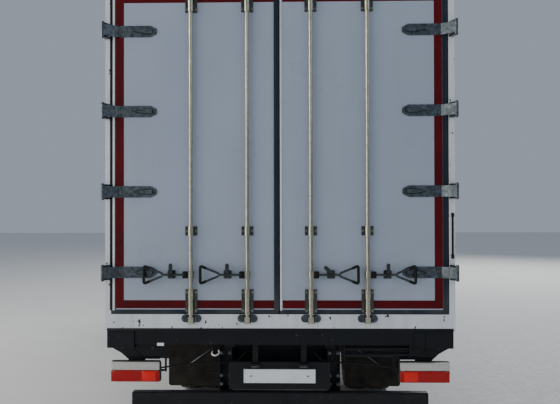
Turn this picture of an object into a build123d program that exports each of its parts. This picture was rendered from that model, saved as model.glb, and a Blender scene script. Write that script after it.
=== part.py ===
import math
import os

from build123d import *

os.makedirs("parts", exist_ok=True)

# Refrigerated truck. X is to the truck's right, Y forward, Z up, in millimetres.
# The origin is on the ground under the middle of the whole vehicle.

# Whole vehicle
overall_length = 8200
overall_half = overall_length / 2
seat_gap = 0.3
running_gap = 0.05
sides = ((-1, "left"), (1, "right"))

# Rear doors' hinge pins, which are the rearmost pieces
pin_standoff = 66
knuckle_radius = 12
rear_face_y = -overall_half + pin_standoff + knuckle_radius

# Insulated box
box_width = 2450
box_half = box_width / 2
box_bottom_z = 1030
portal_height = 2520
portal_depth = 120
post_width = 42
sill_height = 119
header_height = 107
wall_thickness = 80
wall_inset = 5
floor_thickness = 110
roof_thickness = 90
roof_drop = 20
portal_front_y = rear_face_y + portal_depth
portal_top_z = box_bottom_z + portal_height
wall_half = box_half - wall_inset
box_roof_z = portal_top_z - roof_drop

# Rear doors
door_edge_gap = 33
door_thickness = 95
door_plug_taper = 3
centre_seal_width = 42
lip_clearance = 5
centre_lip_clearance = 4
lip_depth = 10
door_bottom_z = box_bottom_z + sill_height + door_edge_gap
door_top_z = portal_top_z - header_height - door_edge_gap
door_outer_x = box_half - post_width - door_edge_gap
door_inner_x = centre_seal_width / 2

# Chassis frame
rail_top_z = 900
rail_height = 200
rail_flange = 70
rail_plate = 7
rail_half_spread = 390
rail_front_y = overall_half - 150
rail_rear_y = rear_face_y + 172
bearer_height = 85
cross_bearer_height = box_bottom_z - rail_top_z - bearer_height

# Axles and wheels
front_overhang = 1180
wheelbase = 4500
front_axle_y = overall_half - front_overhang
rear_axle_y = front_axle_y - wheelbase
wheel_radius = 427.5
tyre_width = 225
bead_radius = 203.5
rim_half_width = 80
wheel_offset = 127
front_track_half = 840
rear_track_half = 850
kingpin_x = 700
kingpin_radius = 15
spindle_radius = 30
rear_spindle_radius = 35
axle_z = wheel_radius

# Cab
cab_half = 1050
cab_length = 1660
cab_front_y = overall_half - 90
cab_rear_y = cab_front_y - cab_length
cab_bottom_z = 900
cab_roof_z = 2440
cab_roof_half = 1015
cab_belt_z = 1500
cab_wall = 45
cab_corner_radius = 180
cab_floor_z = 1010
cab_floor_thickness = 50
windscreen_base_y = cab_front_y - 25
windscreen_base_z = 1480
windscreen_top_y = cab_front_y - 158
windscreen_top_z = 2335
roof_seam_z = 2335
rear_seam_y = cab_rear_y + 60
front_seam_y = cab_front_y - 281
cab_door_gap = 9
cab_door_rear_y = cab_rear_y + 270
cab_door_bottom_z = 985
cab_door_top_z = 2300
tilt_pin_y = cab_front_y - 110
tilt_pin_z = 860
tilt_pin_radius = 15
cab_barrel_radius = 9

# Gap between the cab and the box, which gives the box its length
cab_gap = 172
box_front_y = cab_rear_y - cab_gap


def save(builder, node):
    builder.part.label = node
    export_step(builder.part, f"parts/{node}.step")


# Sketch planes: a view from behind (across, up), from the right (along, up) and from above
def seen_from_behind(y):
    return Plane.XZ.offset(-y)


def seen_from_right(x):
    return Plane.YZ.offset(x)


def seen_from_above(z):
    return Plane.XY.offset(z)


def wheel_plane(x, y):
    return Plane(origin=(x, y, axle_z), x_dir=(1, 0, 0), z_dir=(0, -1, 0))


def wheel_axis(x, y):
    return Axis((x, y, axle_z), (1, 0, 0))


# Chassis rails: two channels with their webs outside
with BuildPart() as chassis_rails:
    for side, _ in sides:
        with BuildSketch(seen_from_behind(rail_front_y)):
            with Locations((side * (rail_half_spread - rail_flange / 2), rail_top_z - rail_height / 2)):
                Rectangle(rail_flange, rail_height)
            with Locations((side * (rail_half_spread - rail_plate - rail_flange / 2),
                            rail_top_z - rail_height / 2)):
                Rectangle(rail_flange, rail_height - 2 * rail_plate, mode=Mode.SUBTRACT)
        extrude(amount=rail_front_y - rail_rear_y)
save(chassis_rails, "chassis_rails")

# Cross members: channels between the webs, open to the rear
cross_member_rows = (rail_front_y - 80, rear_axle_y + 3280, rear_axle_y + 2230, rear_axle_y + 930,
                     rear_axle_y - 720, rail_rear_y + 70)
cross_member_height = 130
cross_member_depth = 70
cross_member_plate = 7
cross_member_z = rail_top_z - rail_plate - cross_member_height / 2 - seat_gap
cross_member_half = rail_half_spread - rail_plate

with BuildPart() as cross_members:
    for row_y in cross_member_rows:
        with BuildSketch(seen_from_right(-cross_member_half)):
            with Locations((row_y, cross_member_z)):
                Rectangle(cross_member_depth, cross_member_height)
            with Locations((row_y - cross_member_plate, cross_member_z)):
                Rectangle(cross_member_depth, cross_member_height - 2 * cross_member_plate,
                          mode=Mode.SUBTRACT)
        extrude(amount=2 * cross_member_half)
save(cross_members, "cross_members")

# Front axle: a dropped I-beam with a boss for the kingpin at each end
axle_boss_radius = 34
axle_boss_height = 90
beam_height = 80
beam_depth = 76
beam_drop = 45
beam_web = 22
spring_x = rail_half_spread - rail_flange / 2
beam_top_z = axle_z - beam_drop + beam_height / 2

with BuildPart() as front_axle:
    with BuildSketch(seen_from_behind(front_axle_y + beam_depth / 2)):
        with BuildLine():
            Polyline((-kingpin_x, axle_z + beam_height / 2),
                     (-spring_x - 150, axle_z + beam_height / 2),
                     (-spring_x - 90, beam_top_z),
                     (spring_x + 90, beam_top_z),
                     (spring_x + 150, axle_z + beam_height / 2),
                     (kingpin_x, axle_z + beam_height / 2),
                     (kingpin_x, axle_z - beam_height / 2),
                     (spring_x + 150, axle_z - beam_height / 2),
                     (spring_x + 90, beam_top_z - beam_height),
                     (-spring_x - 90, beam_top_z - beam_height),
                     (-spring_x - 150, axle_z - beam_height / 2),
                     (-kingpin_x, axle_z - beam_height / 2),
                     close=True)
        make_face()
    extrude(amount=beam_depth)
    # Hollow sides of the I-section
    for face_y in (front_axle_y + beam_depth / 2, front_axle_y - beam_web / 2):
        with BuildSketch(seen_from_behind(face_y)):
            with Locations((0, beam_top_z - beam_height / 2)):
                Rectangle(2 * spring_x - 120, beam_height - 36)
        extrude(amount=(beam_depth - beam_web) / 2, mode=Mode.SUBTRACT)
    # Kingpin bosses, with the beam's ends cut back to them
    for side, _ in sides:
        with BuildSketch(seen_from_above(axle_z - axle_boss_height / 2)):
            with Locations((side * (kingpin_x + axle_boss_radius), front_axle_y)):
                Rectangle(2 * axle_boss_radius, 2 * axle_boss_radius + 20)
        extrude(amount=axle_boss_height, mode=Mode.SUBTRACT)
        with BuildSketch(seen_from_above(axle_z - axle_boss_height / 2)):
            with Locations((side * kingpin_x, front_axle_y)):
                Circle(axle_boss_radius)
        extrude(amount=axle_boss_height)
        with BuildSketch(seen_from_above(axle_z - axle_boss_height / 2)):
            with Locations((side * kingpin_x, front_axle_y)):
                Circle(kingpin_radius + running_gap)
        extrude(amount=axle_boss_height, mode=Mode.SUBTRACT)
save(front_axle, "front_axle")

# Steering knuckles: a fork with the kingpin, the wheel's spindle and the steering arm
fork_gap = 0.5
fork_lug = 22
fork_half_height = axle_boss_height / 2 + fork_gap + fork_lug
fork_web_inner = axle_boss_radius + 8
fork_web = 20
hub_back = 50
spindle_end = 110
arm_reach = 230
arm_thickness = 20
arm_low_z = axle_z - fork_half_height
tie_rod_x = kingpin_x
ball_pin_radius = 8
ball_pin_length = 34

for side, hand in sides:
    web_face_x = kingpin_x + fork_web_inner + fork_web
    with BuildPart() as knuckle:
        with BuildSketch(seen_from_above(axle_z - fork_half_height)):
            with Locations((side * kingpin_x, front_axle_y)):
                Circle(axle_boss_radius)
            with Locations((side * (kingpin_x + (fork_web_inner + fork_web) / 2), front_axle_y)):
                Rectangle(fork_web_inner + fork_web, 2 * axle_boss_radius)
        extrude(amount=2 * fork_half_height)
        with BuildSketch(seen_from_above(axle_z - axle_boss_height / 2 - fork_gap)):
            with Locations((side * (kingpin_x - axle_boss_radius + (axle_boss_radius + fork_web_inner) / 2),
                            front_axle_y)):
                Rectangle(axle_boss_radius + fork_web_inner, 2 * axle_boss_radius + 2)
        extrude(amount=axle_boss_height + 2 * fork_gap, mode=Mode.SUBTRACT)
        with BuildSketch(seen_from_above(axle_z - fork_half_height)):
            with Locations((side * kingpin_x, front_axle_y)):
                Circle(kingpin_radius)
        extrude(amount=2 * fork_half_height)
        # Spindle
        with BuildSketch(seen_from_right(side * (web_face_x - 5))):
            with Locations((front_axle_y, axle_z)):
                Circle(spindle_radius)
        extrude(amount=side * (front_track_half + spindle_end - web_face_x + 5))
        # Steering arm to the tie rod's ball pin
        with BuildSketch(seen_from_above(arm_low_z)):
            with BuildLine():
                Polyline((side * web_face_x, front_axle_y),
                         (side * web_face_x, front_axle_y - axle_boss_radius),
                         (side * (tie_rod_x + 18), front_axle_y - 130),
                         (side * (tie_rod_x + 18), front_axle_y - arm_reach),
                         (side * (tie_rod_x - 18), front_axle_y - arm_reach),
                         (side * (tie_rod_x - 18), front_axle_y - 110),
                         (side * (kingpin_x + axle_boss_radius), front_axle_y),
                         close=True)
            make_face()
            with Locations((side * tie_rod_x, front_axle_y - arm_reach)):
                Circle(18)
        extrude(amount=arm_thickness)
        with BuildSketch(seen_from_above(arm_low_z + arm_thickness)):
            with Locations((side * tie_rod_x, front_axle_y - arm_reach)):
                Circle(ball_pin_radius)
        extrude(amount=ball_pin_length)
    save(knuckle, f"knuckle_{hand}")

# Tie rod, behind the axle, with an eye on each arm's pin
rod_radius = 13
eye_radius = 20
eye_low_z = arm_low_z + arm_thickness + fork_gap
eye_height = 28
rod_z = eye_low_z + eye_height / 2

with BuildPart() as tie_rod:
    with BuildSketch(seen_from_right(-tie_rod_x)):
        with Locations((front_axle_y - arm_reach, rod_z)):
            Circle(rod_radius)
    extrude(amount=2 * tie_rod_x)
    for side, _ in sides:
        with BuildSketch(seen_from_above(eye_low_z)):
            with Locations((side * tie_rod_x, front_axle_y - arm_reach)):
                Circle(eye_radius)
        extrude(amount=eye_height)
        with BuildSketch(seen_from_above(eye_low_z)):
            with Locations((side * tie_rod_x, front_axle_y - arm_reach)):
                Circle(ball_pin_radius + running_gap)
        extrude(amount=eye_height, mode=Mode.SUBTRACT)
save(tie_rod, "tie_rod")


# Wheels. Distances along the axle are from the rim's middle, positive towards the disc's side.
rim_plate = 7
flange_radius = 222
well_radius = 184
disc_plate = 10
hub_radius = 74.5
disc_bore = 75
stud_face_radius = 128
drum_radius = 155
hand_holes = 8
hand_hole_radius = 15
hand_hole_circle = 147


def tyre_section():
    tread = tyre_width / 2 - 12
    bulge = tyre_width / 2
    with BuildSketch() as section:
        with BuildLine():
            Line((tread, wheel_radius - 22), (tread - 10, wheel_radius - 9))
            ThreePointArc((tread - 10, wheel_radius - 9), (0, wheel_radius), (10 - tread, wheel_radius - 9))
            Line((10 - tread, wheel_radius - 9), (-tread, wheel_radius - 22))
            ThreePointArc((-tread, wheel_radius - 22), (-bulge, 315), (-rim_half_width - 10, 234))
            Polyline((-rim_half_width - 10, 234),
                     (-rim_half_width, flange_radius + 4),
                     (-rim_half_width, bead_radius),
                     (rim_half_width, bead_radius),
                     (rim_half_width, flange_radius + 4),
                     (rim_half_width + 10, 234))
            ThreePointArc((rim_half_width + 10, 234), (bulge, 315), (tread, wheel_radius - 22))
        make_face()
    return section.sketch_local


def turned_section(outward, points):
    with BuildSketch() as section:
        with BuildLine():
            Polyline(*[(outward * along, radius) for along, radius in points], close=True)
        make_face()
    return section.sketch_local


def rim_section(outward):
    seat = bead_radius - seat_gap
    lip = rim_half_width + seat_gap
    outside = [(-lip - 6, flange_radius), (-lip, flange_radius), (-lip, seat), (-50, seat),
               (-35, well_radius), (20, well_radius), (40, seat), (lip, seat),
               (lip, flange_radius), (lip + 6, flange_radius)]
    inside = [(lip + 6, seat - rim_plate), (36, seat - rim_plate), (16, well_radius - rim_plate),
              (-31, well_radius - rim_plate), (-46, seat - rim_plate), (-lip - 6, seat - rim_plate)]
    return turned_section(outward, outside + inside)


def disc_section(outward):
    face = wheel_offset
    points = [(8, well_radius - 4), (60, 165), (face, stud_face_radius), (face, disc_bore),
              (face - disc_plate, disc_bore), (face - disc_plate, stud_face_radius - 6),
              (54, 156), (-4, well_radius - 4)]
    return turned_section(outward, points)


# Front wheels: one tyre and rim a side, the hub turning on the knuckle's spindle
front_bore = spindle_radius + running_gap
front_hub_points = [(-hub_back, front_bore), (-hub_back, drum_radius), (35, drum_radius), (35, 80),
                    (100, 80), (100, 122), (wheel_offset - disc_plate, 122),
                    (wheel_offset - disc_plate, hub_radius), (wheel_offset + 4, hub_radius),
                    (wheel_offset + 22, 55), (wheel_offset + 22, 0), (spindle_end + 3, 0),
                    (spindle_end + 3, front_bore)]

for side, hand in sides:
    wheel_x = side * front_track_half
    with BuildPart() as front_tyre:
        with BuildSketch(wheel_plane(wheel_x, front_axle_y)):
            add(tyre_section())
        revolve(axis=wheel_axis(wheel_x, front_axle_y))
    save(front_tyre, f"front_tyre_{hand}")

    with BuildPart() as front_rim:
        with BuildSketch(wheel_plane(wheel_x, front_axle_y)):
            add(rim_section(side))
        revolve(axis=wheel_axis(wheel_x, front_axle_y))
        with BuildSketch(wheel_plane(wheel_x, front_axle_y)):
            add(disc_section(side))
        revolve(axis=wheel_axis(wheel_x, front_axle_y))
        with BuildSketch(Plane.YZ.offset(wheel_x + side * 45)):
            with Locations((front_axle_y, axle_z)):
                with PolarLocations(hand_hole_circle, hand_holes):
                    Circle(hand_hole_radius)
        extrude(amount=side * 70, mode=Mode.SUBTRACT)
        with BuildSketch(wheel_plane(wheel_x, front_axle_y)):
            add(turned_section(side, front_hub_points))
        revolve(axis=wheel_axis(wheel_x, front_axle_y))
    save(front_rim, f"front_rim_{hand}")

# Rear wheels: twins bolted face to face. Hub distances are from that joint.
rear_bore = rear_spindle_radius + running_gap
rear_hub_back = 200
rear_spindle_end = 48
rear_hub_points = [(-rear_hub_back, rear_bore), (-rear_hub_back, drum_radius), (-92, drum_radius),
                   (-92, 80), (-27, 80), (-27, 122), (-disc_plate, 122), (-disc_plate, hub_radius),
                   (disc_plate + 4, hub_radius), (68, 66), (80, 40), (80, 0),
                   (rear_spindle_end + 3, 0), (rear_spindle_end + 3, rear_bore)]

for side, hand in sides:
    joint_x = side * rear_track_half
    twins = ((joint_x - side * wheel_offset, side), (joint_x + side * wheel_offset, -side))
    with BuildPart() as rear_tyres:
        for twin_x, outward in twins:
            with BuildSketch(wheel_plane(twin_x, rear_axle_y)):
                add(tyre_section())
            revolve(axis=wheel_axis(twin_x, rear_axle_y))
    save(rear_tyres, f"rear_tyres_{hand}")

    with BuildPart() as rear_rims:
        for twin_x, outward in twins:
            with BuildSketch(wheel_plane(twin_x, rear_axle_y)):
                add(rim_section(outward))
            revolve(axis=wheel_axis(twin_x, rear_axle_y))
            with BuildSketch(wheel_plane(twin_x, rear_axle_y)):
                add(disc_section(outward))
            revolve(axis=wheel_axis(twin_x, rear_axle_y))
            with BuildSketch(Plane.YZ.offset(twin_x + outward * 45)):
                with Locations((rear_axle_y, axle_z)):
                    with PolarLocations(hand_hole_circle, hand_holes):
                        Circle(hand_hole_radius)
            extrude(amount=outward * 70, mode=Mode.SUBTRACT)
        with BuildSketch(wheel_plane(joint_x, rear_axle_y)):
            add(turned_section(side, rear_hub_points))
        revolve(axis=wheel_axis(joint_x, rear_axle_y))
    save(rear_rims, f"rear_rims_{hand}")

# Rear axle: tube, differential housing, spindles and brake chambers; the drive shaft is a second solid
axle_tube_radius = 55
axle_tube_half = rear_track_half - rear_hub_back - 10
diff_radius = 165
diff_depth = 190
nose_radius = 62
nose_reach = 190
shaft_radius = 42
gearbox_rear_y = front_axle_y - 1120
shaft_front_z = 650
chamber_x = 420
chamber_length = 130
chamber_radius = 62
chamber_reach = 135
chamber_rise = 60
chamber_arm = 60
chamber_arm_height = 40

with BuildPart() as rear_axle:
    with BuildSketch(seen_from_right(-axle_tube_half)):
        with Locations((rear_axle_y, axle_z)):
            Circle(axle_tube_radius)
    extrude(amount=2 * axle_tube_half)
    with BuildSketch(seen_from_right(-rear_track_half - rear_spindle_end)):
        with Locations((rear_axle_y, axle_z)):
            Circle(rear_spindle_radius)
    extrude(amount=2 * (rear_track_half + rear_spindle_end))
    with BuildSketch(Plane(origin=(0, rear_axle_y, axle_z), x_dir=(0, 1, 0), z_dir=(1, 0, 0))):
        with BuildLine():
            Polyline((-diff_depth / 2, 0), (-diff_depth / 2, 60), (-60, 140), (-25, diff_radius),
                     (25, diff_radius), (70, 135), (diff_depth / 2, 90),
                     (diff_depth / 2 + nose_reach, nose_radius),
                     (diff_depth / 2 + nose_reach, 0), close=True)
        make_face()
    revolve(axis=Axis((0, rear_axle_y, axle_z), (0, 1, 0)))
    shaft_start = Vector(0, rear_axle_y + diff_depth / 2 + nose_reach + seat_gap, axle_z)
    shaft_end = Vector(0, gearbox_rear_y, shaft_front_z)
    shaft_run = shaft_end - shaft_start
    shaft_trim = shaft_radius * shaft_run.Z / shaft_run.Y + seat_gap
    with BuildSketch(Plane(origin=tuple(shaft_start + shaft_run.normalized() * shaft_trim),
                           x_dir=(1, 0, 0), z_dir=tuple(shaft_run))):
        Circle(shaft_radius)
    extrude(amount=shaft_run.length - 2 * shaft_trim)
    # Brake chambers ahead of the tube
    for side, _ in sides:
        with BuildSketch(seen_from_right(side * chamber_x)):
            with Locations((rear_axle_y + chamber_reach, axle_z + chamber_rise)):
                Circle(chamber_radius)
        extrude(amount=side * chamber_length)
        with BuildSketch(seen_from_right(side * (chamber_x + (chamber_length - chamber_arm) / 2))):
            with Locations((rear_axle_y + chamber_reach / 2, axle_z + chamber_rise / 2)):
                Rectangle(chamber_reach, chamber_arm_height)
        extrude(amount=side * chamber_arm)
save(rear_axle, "rear_axle")

# Leaf springs: packs of leaves on one centre of curvature, eyes and hangers
leaf_width = 70
leaf_step = 12
eye_tube_radius = 24
clamp_width = 110
clamp_length = 150
clamp_thickness = 22
u_bolt_radius = 8
u_bolt_margin = 14
u_bolt_end = 14
spring_table = (  # name, axle y, seat z, leaves, half length, end rise
    ("front", front_axle_y, beam_top_z, 5, 600, 105),
    ("rear", rear_axle_y, axle_z + axle_tube_radius, 6, 650, 90),
)

with BuildPart() as leaf_springs:
    for _, spring_y, seat_z, leaves, half_length, rise in spring_table:
        arc_radius = half_length ** 2 / (2 * rise)
        top_z = seat_z + leaves * leaf_step
        centre_z = top_z + arc_radius
        for side, _ in sides:
            for leaf in range(leaves):
                upper = arc_radius + leaf * leaf_step
                lower = upper + leaf_step
                reach = half_length * (1 - 0.15 * leaf)
                angle = reach / arc_radius
                with BuildSketch(seen_from_right(side * spring_x - leaf_width / 2)):
                    with BuildLine():
                        inner = ThreePointArc(
                            (spring_y - upper * math.sin(angle), centre_z - upper * math.cos(angle)),
                            (spring_y, centre_z - upper),
                            (spring_y + upper * math.sin(angle), centre_z - upper * math.cos(angle)))
                        outer = ThreePointArc(
                            (spring_y - lower * math.sin(angle), centre_z - lower * math.cos(angle)),
                            (spring_y, centre_z - lower),
                            (spring_y + lower * math.sin(angle), centre_z - lower * math.cos(angle)))
                        Line(inner @ 0, outer @ 0)
                        Line(inner @ 1, outer @ 1)
                    make_face()
                extrude(amount=leaf_width)
            end_angle = half_length / arc_radius
            for end in (-1, 1):
                eye_y = spring_y + end * arc_radius * math.sin(end_angle)
                eye_z = centre_z - arc_radius * math.cos(end_angle) - leaf_step
                with BuildSketch(seen_from_right(side * spring_x - leaf_width / 2)):
                    with Locations((eye_y, eye_z)):
                        Circle(eye_tube_radius)
                extrude(amount=leaf_width)
                # Hanger cheeks up to the rail's lower flange
                hanger_height = rail_top_z - rail_height - eye_z
                for cheek in (-1, 1):
                    with BuildSketch(seen_from_right(side * spring_x + cheek * (leaf_width / 2 + 4) - 4)):
                        with Locations((eye_y, eye_z)):
                            Circle(eye_tube_radius + 8)
                        with Locations((eye_y, eye_z + hanger_height / 2)):
                            Rectangle(2 * (eye_tube_radius + 8), hanger_height)
                    extrude(amount=8)
            # Clamp plate on the pack and two pairs of U-bolt legs down to the axle
            clamp_z = top_z + clamp_thickness / 2
            with BuildSketch(seen_from_right(side * spring_x - clamp_width / 2)):
                with Locations((spring_y, clamp_z)):
                    Rectangle(clamp_length, clamp_thickness)
            extrude(amount=clamp_width)
            for bolt_y in (spring_y - clamp_length / 2 + u_bolt_margin,
                           spring_y + clamp_length / 2 - u_bolt_margin):
                for leg in (-1, 1):
                    with BuildSketch(seen_from_above(seat_z + seat_gap)):
                        with Locations((side * spring_x + leg * (clamp_width / 2 - u_bolt_radius - 1),
                                        bolt_y)):
                            Circle(u_bolt_radius)
                    extrude(amount=top_z - seat_z + clamp_thickness + u_bolt_end)
save(leaf_springs, "leaf_springs")

# Engine and gearbox, as one plain block between the rails
engine_front_y = front_axle_y + 280
engine_rear_y = front_axle_y - 420
engine_half = 270
engine_bottom_z = 620
engine_top_z = 1170
gearbox_half = 180
gearbox_top_z = 880

with BuildPart() as engine_block:
    with BuildSketch(seen_from_behind(engine_front_y)):
        with Locations((0, (engine_bottom_z + engine_top_z) / 2)):
            Rectangle(2 * engine_half, engine_top_z - engine_bottom_z)
    extrude(amount=engine_front_y - engine_rear_y)
    with BuildSketch(seen_from_behind(engine_rear_y)):
        with Locations((0, (engine_bottom_z + gearbox_top_z) / 2)):
            Rectangle(2 * gearbox_half, gearbox_top_z - engine_bottom_z)
    extrude(amount=engine_rear_y - gearbox_rear_y)
    # Feet on the rails' lower flanges
    with BuildSketch(seen_from_behind(engine_front_y - 200)):
        with Locations((0, rail_top_z - rail_height + rail_plate + 25)):
            Rectangle(2 * (rail_half_spread - rail_plate - 5), 50)
    extrude(amount=120)
save(engine_block, "engine_block")

# Silencer and tail pipe, hung outside the right rail
silencer_x = 560
silencer_y = front_axle_y - 2670
silencer_z = 600
silencer_radius = 110
silencer_length = 760
pipe_radius = 38
pipe_front_y = gearbox_rear_y - 20
tail_pipe_length = 420

with BuildPart() as exhaust:
    with BuildSketch(seen_from_behind(silencer_y + silencer_length / 2)):
        with Locations((silencer_x, silencer_z)):
            Circle(silencer_radius)
    extrude(amount=silencer_length)
    fillet(exhaust.edges().filter_by(GeomType.CIRCLE), radius=18)
    with BuildSketch(seen_from_behind(silencer_y - silencer_length / 2)):
        with Locations((silencer_x, silencer_z)):
            Circle(pipe_radius)
    extrude(amount=tail_pipe_length)
    with BuildSketch(seen_from_behind(pipe_front_y)):
        with Locations((silencer_x, silencer_z)):
            Circle(pipe_radius)
    extrude(amount=pipe_front_y - silencer_y - silencer_length / 2)
    # Straps to the rail's web
    for strap_y in (silencer_y - 250, silencer_y + 250):
        with BuildSketch(seen_from_behind(strap_y + 15)):
            with Locations((silencer_x, silencer_z)):
                Circle(silencer_radius + 5)
            with Locations(((silencer_x + rail_half_spread) / 2, rail_top_z - rail_height / 2)):
                Rectangle(silencer_x - rail_half_spread, 60)
            with Locations((silencer_x - 15, (rail_top_z - rail_height / 2 + silencer_z) / 2)):
                Rectangle(30, rail_top_z - rail_height / 2 - silencer_z + 60)
        extrude(amount=30)
save(exhaust, "exhaust")

# Fuel tank on the left rail, with two brackets, straps and a filler neck
tank_front_y = front_axle_y - 1570
tank_length = 900
tank_width = 480
tank_height = 440
tank_bottom_z = 440
tank_gap = 90
tank_corner = 70
tank_strap = 4
tank_strap_width = 50
tank_strap_inset = 205
filler_radius = 45
filler_height = 30
filler_inset = 110
filler_shift = 90

with BuildPart() as fuel_tank:
    tank_x = -(rail_half_spread + tank_gap + tank_width / 2)
    with BuildSketch(seen_from_behind(tank_front_y)):
        with Locations((tank_x, tank_bottom_z + tank_height / 2)):
            RectangleRounded(tank_width, tank_height, tank_corner)
    extrude(amount=tank_length)
    for bracket_y in (tank_front_y - 180, tank_front_y - tank_length + 230):
        with BuildSketch(seen_from_behind(bracket_y)):
            with BuildLine():
                Polyline((-rail_half_spread, rail_top_z - 20),
                         (-rail_half_spread - tank_gap, rail_top_z - 60),
                         (-rail_half_spread - tank_gap, tank_bottom_z),
                         (tank_x - tank_width / 4, tank_bottom_z),
                         (tank_x - tank_width / 4, tank_bottom_z - 30),
                         (-rail_half_spread - tank_gap, tank_bottom_z - 40),
                         (-rail_half_spread, rail_top_z - rail_height),
                         close=True)
            make_face()
        extrude(amount=50)
    # Straps round the tank over its brackets, and the filler neck
    for strap_y in (tank_front_y - tank_strap_inset, tank_front_y - tank_length + tank_strap_inset):
        with BuildSketch(seen_from_behind(strap_y + tank_strap_width / 2)):
            with Locations((tank_x, tank_bottom_z + tank_height / 2)):
                RectangleRounded(tank_width + 2 * tank_strap, tank_height + 2 * tank_strap,
                                 tank_corner + tank_strap)
        extrude(amount=tank_strap_width)
    with BuildSketch(seen_from_above(tank_bottom_z + tank_height)):
        with Locations((tank_x - filler_shift, tank_front_y - filler_inset)):
            Circle(filler_radius)
    extrude(amount=filler_height)
save(fuel_tank, "fuel_tank")

# Battery box on the right rail and an air tank on the left one
battery_front_y = front_axle_y - 1520
battery_length = 560
battery_width = 320
battery_height = 320
battery_bottom_z = 520
air_tank_radius = 110
air_tank_length = 620
air_tank_front_y = tank_front_y - tank_length - 120
air_tank_z = rail_top_z - rail_height / 2 + 20

with BuildPart() as battery_box:
    battery_x = rail_half_spread + 260 + battery_width / 2
    with BuildSketch(seen_from_behind(battery_front_y)):
        with Locations((battery_x, battery_bottom_z + battery_height / 2)):
            RectangleRounded(battery_width, battery_height, 12)
    extrude(amount=battery_length)
    # Carrier arm from the rail
    with BuildSketch(seen_from_behind(battery_front_y - 60)):
        with Locations(((rail_half_spread + battery_x) / 2, battery_bottom_z + battery_height + 20)):
            Rectangle(battery_x - rail_half_spread, 40)
    extrude(amount=60)
    # Air tank on the left rail, behind the fuel tank, on a carrier
    with BuildSketch(seen_from_behind(air_tank_front_y)):
        with Locations((-rail_half_spread - air_tank_radius - 40, air_tank_z)):
            Circle(air_tank_radius)
    extrude(amount=air_tank_length)
    with BuildSketch(seen_from_behind(air_tank_front_y - air_tank_length / 2 + 25)):
        with Locations((-rail_half_spread - 30, air_tank_z)):
            Rectangle(60, 120)
    extrude(amount=50)
save(battery_box, "battery_box")

# Floor bearers: two long ones on the rails and cross bearers under the box
bearer_front_y = box_front_y - 20
bearer_rear_y = rear_face_y + 90
cross_bearer_count = 12
cross_bearer_width = 60
cross_bearer_half = box_half - 45

bearer_pitch = (bearer_front_y - bearer_rear_y - cross_bearer_width) / (cross_bearer_count - 1)

with BuildPart() as floor_bearers:
    for side, _ in sides:
        with BuildSketch(seen_from_behind(bearer_front_y)):
            with Locations((side * spring_x, rail_top_z + bearer_height / 2)):
                Rectangle(rail_flange, bearer_height)
        extrude(amount=bearer_front_y - bearer_rear_y)
    for number in range(cross_bearer_count):
        row_y = bearer_rear_y + cross_bearer_width / 2 + number * bearer_pitch
        with BuildSketch(seen_from_right(-cross_bearer_half)):
            with Locations((row_y, rail_top_z + bearer_height + cross_bearer_height / 2)):
                Rectangle(cross_bearer_width, cross_bearer_height)
        extrude(amount=2 * cross_bearer_half)
save(floor_bearers, "floor_bearers")

# Rear beam under the sill, with a box-shaped bracket for each lamp
beam_face_y = rear_face_y + 8
rear_beam_height = 95
rear_beam_depth = 80
lamp_bracket_x = 1115
lamp_bracket_width = 190
end_box_height = 115
end_box_low_z = box_bottom_z - 2 - end_box_height
end_box_proud = 12
gusset_width = 78
gusset_thickness = 5
gusset_rise = 18
hanger_x = 807
hanger_width = 14
hanger_thickness = 6
lamp_z = 745
lamp_width = 356
lamp_height = 152
lamp_depth = 60
lamp_x = 1012
plate_width = 520
plate_height = 112
plate_z = 711
plate_face_y = beam_face_y + 20
plate_thickness = 2
holder_border = 10
holder_thickness = 8
step_inner_x = 455
step_outer_x = 910
step_tube_radius = 14
step_z = 880

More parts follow.
